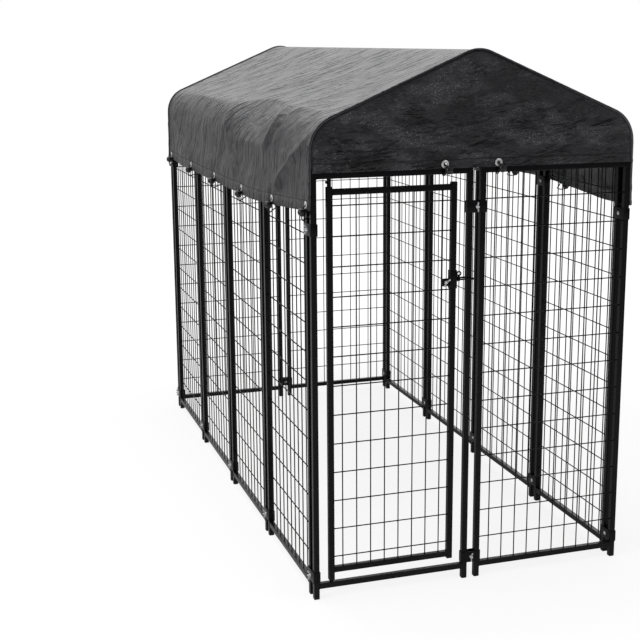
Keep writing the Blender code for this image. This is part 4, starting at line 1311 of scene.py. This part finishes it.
# A profile of (radius, height) turned about an axis through place
def lathe(mesh, profile, place, axis, sides=24):
    turn = up.rotation_difference(Vector(axis).normalized())
    rings = []
    for radius, height in profile:
        spots = [(0, 0, height)]
        if radius > 1e-7:
            spots = [(radius * x, radius * y, height) for x, y in circle(sides)]
        rings.append([mesh.verts.new(Vector(place) + turn @ Vector(spot)) for spot in spots])
    joinRings(mesh, rings, sides)


def finished(name, mesh, material, sharp=40):
    bmesh.ops.recalc_face_normals(mesh, faces=mesh.faces)
    data = bpy.data.meshes.new(name)
    mesh.to_mesh(data)
    mesh.free()
    data.shade_smooth()
    data.set_sharp_from_angle(angle=math.radians(sharp))
    data.materials.append(material)
    return data


def smoothLine(places, steps=6):
    spots = [Vector(place) for place in places]
    spots = [spots[0] * 2 - spots[1]] + spots + [spots[-1] * 2 - spots[-2]]
    line = []
    for first, start, end, last in zip(spots, spots[1:], spots[2:], spots[3:]):
        for step in range(steps):
            share = step / steps
            square = 2 * first - 5 * start + 4 * end - last
            cube = 3 * start - first - 3 * end + last
            line.append((2 * start + (end - first) * share + square * share ** 2 + cube * share ** 3) / 2)
    return line + [spots[-2]]


# Roof tubes: bent rafters with a swaged foot in each post, ridge fittings and poles
rafter = {
    "foot": 0.0078,
    "swage": 0.012,
    "shoulder": 0.010,
    "joint": 0.0006,
    "sleeve": 0.0093,
}
tubeRadius = roof["tube"] / 2
ridgeZ = cornerZ - roof["ridgeBend"] * (1 / math.cos(roof["pitch"]) - 1)
rafterStart = roof["ridgeBend"] * math.tan(roof["pitch"]) + rafter["shoulder"]


def rafterLine():
    slopeDown = (math.cos(roof["pitch"]), -math.sin(roof["pitch"]))
    line = halfSection(0.0)
    top = (rafterStart * slopeDown[0], cornerZ + rafterStart * slopeDown[1])
    kept = [spot for index, spot in enumerate(line) if index > 8 and spot[0] > top[0] + 0.004]
    spots = [(top, tubeRadius)] + [(spot, tubeRadius) for spot in kept]
    foot = panelTall - roof["postPlug"]
    spots.append(((postX, panelTall + rafter["swage"]), tubeRadius))
    spots.append(((postX, panelTall + 0.0004), rafter["foot"]))
    spots.append(((postX, foot), rafter["foot"]))
    return spots


def roofPiece(node, ending, chains):
    dressed(node + ending, runMesh(node + ending, chains, roofCoat), "frame", node)


def makeRoofTubes():
    line = rafterLine()
    pitch, bend = roof["pitch"], roof["ridgeBend"]
    reach, middle = rafterStart - rafter["joint"], cornerZ - bend / math.cos(pitch)
    for place, y in zip(("front", "middle", "back"), trussY):
        for side, sign in (("left", -1), ("right", 1)):
            chain = [((sign * x, y, z), radius) for (x, z), radius in line]
            roofPiece(f"{place}_rafter_{side}", "_tube", [chain])
        angles = [pitch * step / 6 for step in range(-6, 7)]
        bow = [(bend * math.sin(angle), y, middle + bend * math.cos(angle)) for angle in angles]
        ends = [(sign * reach * math.cos(pitch), y, cornerZ - reach * math.sin(pitch)) for sign in (-1, 1)]
        chains = [[(spot, rafter["sleeve"]) for spot in [ends[0]] + bow + [ends[1]]]]
        for direction in {"front": (1,), "middle": (-1, 1), "back": (-1,)}[place]:
            chains.append([((0, y + direction * far, ridgeZ), rafter["sleeve"]) for far in (0.0, 0.030)])
        roofPiece(f"ridge_fitting_{place}", "_tee", chains)
    for name in ("ridge_pole_front", "ridge_pole_middle"):
        roofPiece(name, "_tube", [[((0, corner.y, ridgeZ), tubeRadius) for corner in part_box(name)]])


makeRoofTubes()
print("roof: rafters, fittings and poles")


# Clamps: two bent plates round a pair of posts, drawn together by a carriage bolt
clamp = {
    "half": 0.0343,
    "depth": 0.0103,
    "plate": 0.0025,
    "height": 0.040,
    "slot": 0.0012,
    "bend": 0.0012,
    "edge": 0.0006,
    "bolt": 0.006,
    "reach": 0.0257,      # bolt end from the middle of the joint
    "hub": 0.012,
    "hubDeep": 0.006,
    "wing": 0.0022,
    "wingTurn": 0.9,      # how unevenly the wing nuts are turned
    "head": 0.014,
    "headDeep": 0.0035,
}


# Plan line through corners, each rounded with its own bend
def bentLine(corners, bend, steps=4):
    line = [Vector(corners[0])]
    for before, corner, after in zip(corners, corners[1:], corners[2:]):
        before, corner, after = Vector(before), Vector(corner), Vector(after)
        first, second = (before - corner).normalized(), (after - corner).normalized()
        half = first.angle(second) / 2
        middle = corner + (first + second).normalized() * bend / math.sin(half)
        start = corner + first * bend / math.tan(half) - middle
        turn = start.angle_signed(corner + second * bend / math.tan(half) - middle)
        for step in range(steps + 1):
            angle = -turn * step / steps
            line.append(middle + Matrix.Rotation(angle, 2) @ start)
    return line + [Vector(corners[-1])]


# A strip bent along a plan line, its thickness to the right of the line; heights gives low and high at an x
def bentStrip(mesh, line, plate, heights, mirror=1):
    rings = []
    for index, place in enumerate(line):
        ahead, behind = line[min(index + 1, len(line) - 1)], line[max(index - 1, 0)]
        heading = (ahead - behind).normalized()
        outer = place + Vector((heading.y, -heading.x)) * plate
        low, high = heights(place.x)
        spots = ((place, low), (place, high), (outer, high), (outer, low))
        rings.append([mesh.verts.new((spot.x, mirror * spot.y, z)) for spot, z in spots])
    mesh.faces.new(rings[0])
    mesh.faces.new(rings[-1][::-1])
    for before, after in zip(rings, rings[1:]):
        for corner in range(4):
            following = (corner + 1) % 4
            mesh.faces.new((before[corner], after[corner], after[following], before[following]))


def easedRims(mesh, width, least=60):
    bmesh.ops.recalc_face_normals(mesh, faces=mesh.faces)
    sharp = math.radians(least)
    rims = [edge for edge in mesh.edges if edge.is_manifold and edge.calc_face_angle() > sharp]
    bmesh.ops.bevel(mesh, geom=rims, offset=width, segments=2, affect="EDGES", profile=0.6)


def clampShape():
    mesh = bmesh.new()
    half, depth, lip = clamp["half"], clamp["depth"], clamp["slot"] / 2
    corners = ((-half, -lip), (-half, -depth), (half, -depth), (half, -lip))
    line = bentLine(corners, clamp["bend"])
    for mirror in (1, -1):
        bentStrip(mesh, line, clamp["plate"], lambda x: (-clamp["height"] / 2, clamp["height"] / 2), mirror)
    easedRims(mesh, clamp["edge"])
    return finished("clampPlates", mesh, clampCoat, 30)


# Threads show as rings on the end of a bolt
def threaded(start, end, radius, pitch=0.001):
    profile = [(0, start)]
    count = max(2, int((end - start) / pitch))
    for index in range(count):
        low = start + (end - start) * index / count
        profile.append((radius * 0.86, low))
        profile.append((radius, low + pitch * 0.5))
    profile.append((radius * 0.86, end - 0.0004))
    profile.append((radius * 0.6, end))
    profile.append((0, end))
    return profile


# Hexagon nut with chamfered corners, from height low to high on the Z axis
def hexNut(mesh, across, low, high, axis, place=(0, 0, 0)):
    turn = up.rotation_difference(Vector(axis).normalized())
    corner, chamfer = across / math.sqrt(3), (high - low) * 0.16
    rings = []
    outline = ((across * 0.47, low), (corner, low + chamfer),
               (corner, high - chamfer), (across * 0.46, high))
    for radius, z in outline:
        ring = []
        for step, (x, y) in enumerate(circle(24)):
            flat = across / 2 / math.cos((math.pi * step / 12 + math.pi / 6) % (math.pi / 3) - math.pi / 6)
            reach = min(radius, flat)
            ring.append(mesh.verts.new(Vector(place) + turn @ Vector((reach * x, reach * y, z))))
        rings.append(ring)
    joinRings(mesh, rings, 24)
    mesh.faces.new(rings[0][::-1])
    mesh.faces.new(rings[-1])


# One wing as an outline of (forward, up) from the bolt's axis, pressed flat; -Y is forwards
def addWing(mesh, place, sign, thick, turned, reach=0.0128):
    outline = smoothLine(((0.0010, 0.0030), (0.0022, 0.0070), (0.0044, 0.0120), (0.0082, 0.0158),
                          (0.0110, 0.0168), (0.0128, 0.0150), (0.0126, 0.0110), (0.0104, 0.0068),
                          (0.0070, 0.0040), (0.0058, 0.0026)), 3)
    turn = Matrix.Rotation(turned, 3, "Y")
    sides = []
    for offset in (-thick / 2, thick / 2):
        spots = [turn @ Vector((offset, -spot[0] * reach / 0.0128, sign * spot[1])) for spot in outline]
        sides.append([mesh.verts.new(Vector(place) + spot) for spot in spots])
    mesh.faces.new(sides[0])
    mesh.faces.new(sides[1][::-1])
    for index in range(len(outline)):
        following = (index + 1) % len(outline)
        mesh.faces.new((sides[0][index], sides[1][index], sides[1][following], sides[0][following]))


# Hub of a wing nut that stands on height seat, with its two wings
def addWingNut(mesh, place, seat, hub, deep, thick, turned, reach):
    profile = ((0.0031, seat), (hub, seat), (hub, seat + 0.0012), (hub * 0.80, seat + deep - 0.0005),
               (hub * 0.72, seat + deep), (0.0031, seat + deep))
    lathe(mesh, profile, place, (0, -1, 0), 22)
    for sign in (-1, 1):
        addWing(mesh, (place[0], place[1] - seat, place[2]), sign, thick, turned, reach)


# Bolt and wing nut outside, domed carriage head inside; outwards is -Y
def fastenerShape():
    mesh = bmesh.new()
    seat = clamp["depth"] + clamp["plate"]
    outwards, inwards = (0, -1, 0), (0, 1, 0)
    lathe(mesh, threaded(seat - 0.001, clamp["reach"], clamp["bolt"] / 2), (0, 0, 0), outwards, 14)
    wingReach = clamp["reach"] - seat - 0.0020
    addWingNut(mesh, (0, 0, 0), seat, clamp["hub"] / 2, clamp["hubDeep"], clamp["wing"], 0.0, wingReach)
    head, deep = clamp["head"] / 2, clamp["headDeep"]
    dome = [(head, seat), (head, seat + 0.0006)]
    for step in range(1, 7):
        angle = math.pi / 2 * step / 6
        dome.append((head * math.cos(angle), seat + 0.0006 + (deep - 0.0006) * math.sin(angle)))
    dome[-1] = (0, dome[-1][1])
    lathe(mesh, [(0, seat - 0.0004)] + [(head * 0.6, seat - 0.0004)] + dome, (0, 0, 0), inwards, 20)
    return finished("clampFastener", mesh, zinc, 32)


# A place moved into the middle of the wall that it is in
def inWall(wall, x, y):
    if wall in ("left", "right"):
        return (-postX if wall == "left" else postX), y
    return x, (backMiddle if wall == "back" else frontMiddle)


def clampPlaces():
    places = []
    for node in sorted(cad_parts):
        if "_clamp_" in node:
            middle, wall = boxMiddle(node), node.split("_")[0]
            places.append((node, (*inWall(wall, middle.x, middle.y), middle.z), panelTurns[wall]))
    return places


# Instances of a template on points, each turned by the point's facing
def spreadTree():
    sockets = [("Geometry", "Geometry", None), ("Piece", "Object", None), ("Coat", "Material", None)]
    tree, maker, given = startTree("spreadPieces", sockets)
    shape = maker.add("ObjectInfo", {"Object": given["Piece"]}, output="Geometry")
    facing = maker.add("InputNamedAttribute", {"Name": "facing"}, {"data_type": "FLOAT_VECTOR"})
    placed = instances(maker, given["Geometry"], shape, facing)
    endTree(maker, [placed], given["Coat"])
    return tree


spreadPieces = spreadTree()


def spread(name, template, spots, material, slot=None):
    holder = linked(name + "Template", template)
    mesh = grown(name, spreadPieces, {"Piece": holder, "Coat": material}, spots)
    bpy.data.objects.remove(holder)
    return dressed(name, mesh, "frame")


def makeClamps():
    shape = clampShape()
    spots = []
    for node, place, turn in clampPlaces():
        mesh = shape.copy()
        mesh.transform(Matrix.Translation(place) @ Matrix.Rotation(turn, 4, "Z"))
        dressed(node + "_plates", mesh, "frame", node)
        turned = clamp["wingTurn"] * noise.noise(Vector(place) * 9)
        spots.append((node, (place, (0, turned, turn))))
    template = fastenerShape()
    for wall in ("front", "back", "left", "right"):
        chosen = [spot for node, spot in spots if node.startswith(wall)]
        spread(f"{wall}_clamp_fasteners", template, chosen, zinc, "zinc")
    return len(spots)


print("clamps:", makeClamps(), "pairs of plates with their bolts")


# Moulded caps: feet under the posts, plugs in the posts that carry no rafter
cap = {
    "foot": 0.0040,
    "footRound": 0.0022,
    "plug": 0.0030,
    "lip": 0.0002,
}


def capShape(deep, roundness, downwards):
    mesh = bmesh.new()
    size = tube["across"] - 2 * cap["lip"]
    bmesh.ops.create_cube(mesh, size=1.0)
    bmesh.ops.scale(mesh, verts=mesh.verts, vec=(size, size, deep))
    bmesh.ops.translate(mesh, verts=mesh.verts, vec=(0, 0, deep / 2))
    uprights = [edge for edge in mesh.edges if abs(edge.verts[0].co.z - edge.verts[1].co.z) > deep / 2]
    bmesh.ops.bevel(mesh, geom=uprights, offset=tube["corner"], segments=4, affect="EDGES", profile=0.5)
    end = 0.0 if downwards else deep
    rim = [edge for edge in mesh.edges if all(abs(vert.co.z - end) < 1e-5 for vert in edge.verts)]
    bmesh.ops.bevel(mesh, geom=rim, offset=roundness, segments=3, affect="EDGES", profile=0.5)
    return finished("cap", mesh, capPlastic, 40)


def postPlaces():
    places = []
    for node in panelNodes + ["gate_surround"]:
        middle, wall = boxMiddle(node), node.split("_")[0]
        for sign in (-1, 1):
            spot = Matrix.Rotation(panelTurns[wall], 3, "Z") @ Vector((sign * postMiddle, 0, 0))
            places.append(inWall(wall, middle.x + spot.x, middle.y + spot.y))
    return places


def makeCaps():
    posts = postPlaces()
    feet = [((x, y, 0), (0, 0, 0)) for x, y in posts]
    spread("foot_caps", capShape(cap["foot"], cap["footRound"], True), feet, capPlastic)
    carried = [(sign * postX, y) for sign in (-1, 1) for y in trussY]
    free = [(x, y) for x, y in posts if all(math.dist((x, y), spot) > 0.012 for spot in carried)]
    plugs = [((x, y, panelTall - 0.0002), (0, 0, 0)) for x, y in free]
    spread("post_plugs", capShape(cap["plug"], 0.0016, False), plugs, capPlastic)
    return len(feet), len(plugs)


print("caps: feet and plugs", makeCaps())


# Latch: bent plates round the stile, bolt and wing nut, padlock eye, and the fork that spans the post
latch = {
    "plate": 0.0025,
    "bend": 0.0015,
    "boltEar": 0.024,
    "boltTab": 0.026,
    "forkEar": 0.014,
    "forkTab": 0.017,
    "tabFillet": 0.0035,
    "headAcross": 0.010,
    "hub": 0.012,
    "hubDeep": 0.006,
    "wingPlate": 0.0024,
    "wingTurn": 0.72,
    "forkRod": 0.006,
    "forkBend": 0.008,
    "forkBall": 0.009,
    "eye": 0.019,
    "eyeWire": 0.005,
}


def latchHeights(x):
    low, high = (corner.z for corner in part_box("latch_body_back"))
    past = abs(x - latchX) - clamp["depth"] - latch["plate"]
    if past <= 0:
        return low, high
    at, tab = (low + high) / 2, latch["forkTab"]
    if x < latchX:
        at, tab = boxMiddle("latch_bolt").z, latch["boltTab"]
    round = 1 - math.sqrt(max(0.0, 1 - (1 - min(1.0, past / latch["tabFillet"])) ** 2))
    return at - tab / 2 + (low - at + tab / 2) * round, at + tab / 2 + (high - at - tab / 2) * round


def latchPlate(mirror):
    half, lip = clamp["depth"], clamp["slot"] / 2
    left, right = latchX - half, latchX + half
    start, end = left - latch["plate"] - latch["boltEar"], right + latch["plate"] + latch["forkEar"]
    corners = ((start, -lip), (left, -lip), (left, -half), (right, -half), (right, -lip), (end, -lip))
    line = bentLine(corners, latch["bend"])
    edges = [latch["plate"] + latch["tabFillet"] * part for part in (0.0, 0.1, 0.3, 0.6, 1.0)]
    line[1:1] = [Vector((left - edge, -lip)) for edge in reversed(edges)]
    line[-1:-1] = [Vector((right + edge, -lip)) for edge in edges]
    mesh = bmesh.new()
    bentStrip(mesh, line, latch["plate"], latchHeights, mirror)
    easedRims(mesh, clamp["edge"])
    bmesh.ops.translate(mesh, verts=mesh.verts, vec=(0, frontMiddle, 0))
    return mesh


def addRing(mesh, place, radius, wire, sides=28):
    rings = []
    for across, rise in circle(sides):
        reaches = [(radius + wire / 2 * out, wire / 2 * y) for out, y in circle(10)]
        spots = [Vector((reach * across, y, reach * rise)) for reach, y in reaches]
        rings.append([mesh.verts.new(Vector(place) + spot) for spot in spots])
    joinRings(mesh, rings + rings[:1], 10)


def dressNode(node, ending, mesh, material, sharp, body):
    name = node + ending
    dressed(name, finished(name, mesh, material, sharp), body, node)


def makeLatch():
    eyeRadius = (latch["eye"] - latch["eyeWire"]) / 2
    front = latchPlate(1)
    eyePlace = (latchX + clamp["depth"] + eyeRadius + latch["eyeWire"] / 2 + 0.0003,
                frontMiddle - tube["across"] / 2 + latch["eyeWire"] / 2,
                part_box("latch_body_front")[1].z - eyeRadius - latch["eyeWire"])
    addRing(front, eyePlace, eyeRadius, latch["eyeWire"])
    for node, mesh in (("latch_body_front", front), ("latch_body_back", latchPlate(-1))):
        dressNode(node, "_plate", mesh, latchCoat, 35, "gate")
    boltLow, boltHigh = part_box("latch_bolt")
    boltAt = (boxMiddle("latch_bolt").x, frontMiddle, boxMiddle("latch_bolt").z)
    seat = clamp["slot"] / 2 + latch["plate"] + 0.0001
    mesh = bmesh.new()
    lathe(mesh, threaded(-seat, frontMiddle - boltLow.y, 0.0029), boltAt, (0, -1, 0), 14)
    hexNut(mesh, latch["headAcross"], seat, boltHigh.y - frontMiddle, (0, 1, 0), boltAt)
    dressNode("latch_bolt", "_piece", mesh, zinc, 32, "gate")
    mesh = bmesh.new()
    hub, deep, wing = latch["hub"] / 2, latch["hubDeep"], latch["wingPlate"]
    addWingNut(mesh, boltAt, seat, hub, deep, wing, latch["wingTurn"], 0.0148)
    dressNode("latch_wing_nut", "_piece", mesh, zinc, 32, "gate")


# The fork, drawn level: base in the ears, a prong each side of the post, a ball on each end
def makeFork():
    low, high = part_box("latch_fork")
    height, bend = (low.z + high.z) / 2, latch["forkBend"]
    baseX = low.x + latch["forkRod"] / 2
    tipX = high.x - latch["forkBall"] / 2
    side = (high.y - low.y) / 2 - latch["forkBall"] / 2
    line = bentLine(((tipX, -side), (baseX, -side), (baseX, side), (tipX, side)), bend, 7)
    chain = [((spot.x, frontMiddle + spot.y, height), latch["forkRod"] / 2) for spot in line]
    mesh = bmesh.new()
    mesh.from_mesh(runMesh("forkRod", [chain], latchCoat, 16))
    radius = latch["forkBall"] / 2
    profile = [(radius * sine, -radius * cosine) for cosine, sine in circle(24)[:13]]
    for y in (-side, side):
        lathe(mesh, profile, (tipX, frontMiddle + y, height), (1, 0, 0), 20)
    dressNode("latch_fork", "_piece", mesh, latchCoat, 35, "fork")


# Hinge pins: a collar between stile and rail with a small set bolt on its left
hinge = {
    "shank": 0.0099,
    "collar": 0.014,
    "bolt": 0.005,
    "boltHead": 0.008,
    "boltReach": 0.0125,
    "boltRise": 0.002,    # above the middle of its gap
    "boltNut": 0.0040,
    "ease": 0.0007,
    "shim": 0.0003,       # between the collar and the rails
}


def makeHinges():
    railUnder, railOver = panelTall - tube["across"], railLow + tube["across"] / 2
    stileTop, stileFoot = leafHigh + leaf["overrun"], railOver + leaf["footGap"]
    shank, collar, ease = hinge["shank"] / 2, hinge["collar"] / 2, hinge["ease"]
    pins = {"hinge_pin_upper": (stileTop, railUnder), "hinge_pin_lower": (railOver, stileFoot)}
    for node, (low, high) in pins.items():
        foot, top = (corner.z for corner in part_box(node))
        under, over = low + hinge["shim"], high - hinge["shim"]
        profile = ((0, foot), (shank - ease, foot), (shank, foot + ease),
                   (shank, under), (collar - ease, under), (collar, under + ease),
                   (collar, over - ease), (collar - ease, over), (shank, over),
                   (shank, top - ease), (shank - ease, top), (0, top))
        mesh = bmesh.new()
        lathe(mesh, profile, (hingeX, frontMiddle, 0), up, 24)
        if high - low > 0.02:
            at = (hingeX, frontMiddle, (low + high) / 2 + hinge["boltRise"])
            reach, outwards = hinge["boltReach"], (-1, -0.25, 0)
            lathe(mesh, threaded(0.004, reach - 0.003, hinge["bolt"] / 2), at, outwards, 12)
            hexNut(mesh, hinge["boltHead"], reach - hinge["boltNut"], reach, outwards, at)
        dressNode(node, "_piece", mesh, latchCoat, 32, "frame")


makeLatch()
makeFork()
makeHinges()
print("latch: plates, bolt, wing nut, fork; hinge pins")


# Bungees: a ball outside the hem, its elastic loop through the grommet and round the wire or rail inside
bungee = {
    "ball": 0.0150,
    "cord": 0.0021,
    "drop": 0.022,        # ball below its grommet
    "standOff": 0.0140,   # ball's middle outside the cloth
    "droop": 0.026,       # slack of the loop below its ball
    "ringInner": 0.0062,
    "ringOuter": 0.0135,
    "ringThick": 0.0016,
}


def ringShape():
    mesh = bmesh.new()
    inner, outer, thick = bungee["ringInner"], bungee["ringOuter"], bungee["ringThick"]
    shape = ((inner, -thick), (inner - 0.0005, 0), (inner, thick * 0.8), (inner + 0.0012, thick * 1.25),
             (inner + 0.0032, thick * 1.15), (outer - 0.0020, thick * 0.85), (outer - 0.0004, thick * 0.65),
             (outer, thick * 0.35), (outer - 0.0006, -thick * 0.3), (outer - 0.0030, -thick),
             (inner, -thick))
    lathe(mesh, shape, (0, 0, 0), up, 28)
    bmesh.ops.remove_doubles(mesh, verts=mesh.verts, dist=0.00001)
    return finished("grommetRing", mesh, nickel, 50)


# Moulded ball: a flat with a hole on top, where the two ends of the loop go in, and a seam round it
def ballShape():
    mesh = bmesh.new()
    radius = bungee["ball"]
    profile = [(0, radius * 0.62), (0.0030, radius * 0.64)]
    profile += [(0.0034, radius * 0.90), (0.0052, radius * 0.93)]
    for step in range(4, 18):
        angle = math.pi * step / 18
        seam = 0.00025 if step == 9 else 0.0
        profile.append(((radius - seam) * math.sin(angle), (radius - seam) * math.cos(angle)))
    profile.append((0, -radius))
    lathe(mesh, profile, (0, 0, 0), up, 26)
    return finished("bungeeBall", mesh, ballPlastic, 45)


# The upright wire or post nearest to a place on a side wall, and half its thickness
def heldUpright(place):
    side = "left" if place.x < 0 else "right"
    spots = []
    for number in range(1, 5):
        middle = boxMiddle(f"{side}_panel_{number}").y
        spots += [(middle + uprightFirst + index * wireMesh["stepAcross"], wireMesh["wire"] / 2)
                  for index in range(uprightCount)]
        spots += [(middle - postMiddle, tube["across"] / 2), (middle + postMiddle, tube["across"] / 2)]
    return min(spots, key=lambda spot: abs(spot[0] - place.y))


def bungeePlaces():
    places = []
    for place, (sideX, sideY) in grommetSpots():
        out = Vector((sideX, sideY, 0))
        if sideX:
            y, half = heldUpright(place)
            low = place.z - bungee["drop"] - bungee["droop"] * 0.35
            held = Vector((sideX * (postX + (wireMesh["wire"] / 2 if half < 0.005 else 0)), y, low))
        else:
            half = tube["across"] * 0.56
            held = Vector((place.x, sideY * abs(frontMiddle), panelTall - tube["across"] / 2))
        places.append((place, out, held, half, bool(sideX)))
    return places


def bungeeLoop(place, out, held, half, upright):
    side = out.cross(up)
    ballAt = place + out * bungee["standOff"] - up * bungee["drop"]
    room = half + bungee["cord"] + 0.0004
    gap = side * (bungee["cord"] * 1.15)
    neck = ballAt + up * bungee["ball"] * 0.75
    start = [neck - gap * 0.6, place + out * 0.0062 - up * 0.0050, place + out * 0.0020 - up * 0.0008]
    if upright:
        forwards = Vector((0, -1, 0))
        droop = up * (bungee["droop"] if place.x < 0 else bungee["droop"] * 0.45)
        loop = start + [
            place - out * 0.0060 - up * 0.003, held * 0.55 + place * 0.45 - forwards * room * 0.7,
            held - forwards * room, held - out * room, held + forwards * room - up * 0.004,
            held + forwards * (room + 0.004) + out * 0.012 - droop * 0.45,
            ballAt + forwards * 0.014 - droop, ballAt + forwards * 0.003 - droop * 0.80 + out * 0.002,
            ballAt - up * bungee["ball"] * 0.8 + gap * 0.4,
        ]
    else:
        ballAt += up * 0.0035 - side * 0.009
        start[0] += up * 0.0035 - side * 0.009
        loop = start + [
            place - out * 0.0085 + up * 0.001, held + up * room - out * room * 0.45,
            held - out * room + up * room * 0.5, held - out * room - up * room * 0.5,
            held - out * room * 0.6 - up * room, held + out * room * 0.5 - up * room,
            held + out * room - up * room * 0.6, ballAt + gap - out * 0.004,
        ]
    return [(spot, bungee["cord"]) for spot in smoothLine(loop, 5)], ballAt


def makeBungees():
    chains, balls, rings = [], [], []
    for place, out, held, half, upright in bungeePlaces():
        chain, ballAt = bungeeLoop(place, out, held, half, upright)
        chains.append(chain)
        tilt = 0.5 * noise.noise(place * 9)
        balls.append((tuple(ballAt), (tilt, tilt * 0.7, 0)))
        turn = up.rotation_difference(out).to_euler()
        rings.append((tuple(place + out * (tarp["sheet"] + 0.0008)), tuple(turn)))
    dressed("bungee_cords", runMesh("bungee_cords", chains, elastic, 10))
    spread("bungee_balls", ballShape(), balls, ballPlastic)
    spread("grommet_rings", ringShape(), rings, nickel)
    return len(balls)


print("bungees:", makeBungees(), "balls, loops and grommets")


# Sewing: a welt round both gable edges and rows of stitches above the hems
sewing = {
    "step": 0.008,        # between the points of a seam line
    "fromFold": 0.0040,   # rows of stitches inside the hem's two edges
    "fromEdge": 0.0045,
    "fromGable": 0.006,
    "weltPlace": 0.0024,
    "weltRise": 0.0011,
    "weltShort": 0.002,
    "welt": 0.0042,
    "stitch": 0.0030,
    "pitch": 0.0042,
    "thread": 0.0007,
}


def stitchTree():
    sockets = [
        ("Geometry", "Geometry", None), ("Pitch", "Float", 0.004), ("Long", "Float", 0.003),
        ("Thread", "Float", 0.0007), ("Seed", "Int", 1), ("Coat", "Material", None),
    ]
    tree, maker, given = startTree("stitches", sockets)
    curve = maker.add("MeshToCurve", {0: given["Geometry"]})
    points = maker.add("CurveToPoints", {"Curve": curve, "Length": given["Pitch"]}, {"mode": "LENGTH"})
    sockets = {"Segments": 6, "Rings": 4, "Radius": given["Thread"] / 2}
    thread = maker.add("MeshUVSphere", sockets)
    stretch = maker.vector(1.0, 1.0, given["Long"] / given["Thread"])
    thread = maker.add("Transform", {"Geometry": thread, "Scale": stretch})
    uneven = scattered(maker, (0.9, 0.9, 0.88), (1.1, 1.1, 1.08), given["Seed"])
    row = instances(maker, points, thread, points.other("Rotation"), uneven)
    endTree(maker, [row], given["Coat"])
    return tree


def seamLines():
    proud = -tarp["sheet"] - sewing["thread"] * 0.2
    steps = int(roofLong / sewing["step"])
    runs = (hemRun - tarp["hem"] + sewing["fromFold"], hemRun - sewing["fromEdge"])
    lines = [[(sign * run, roofLong * index / steps) for index in range(steps + 1)]
             for sign in (-1, 1) for run in runs]
    edge = tarp["endTurn"] + sewing["fromGable"]
    lines += [[(gableRun * (index / 60 - 1), along) for index in range(121)]
              for along in (edge, roofLong - edge)]
    return [[(clothPoint(across, along, proud), 0) for across, along in line] for line in lines]


def makeSewing():
    spots, edges = chained(seamLines())
    values = {
        "Pitch": sewing["pitch"], "Long": sewing["stitch"], "Thread": sewing["thread"], "Seed": 5,
        "Coat": threadCloth,
    }
    dressed("seam_stitches", grown("seam_stitches", stitchTree(), values, spots, edges))
    welt, edge = sewing["welt"], sewing["weltPlace"]
    inset, reach = sewing["weltRise"] - welt * 0.6, hemRun - sewing["weltShort"]
    runs = [reach * (index / 90 - 1) for index in range(181)]
    chains = [[(clothPoint(run, along, inset), welt) for run in runs] for along in (edge, roofLong - edge)]
    dressed("tarp_welt", runMesh("tarp_welt", chains, wovenTarp, 10, 0.019, "cutSheet"), "frame")


makeSewing()
print("sewing: welts and stitches")
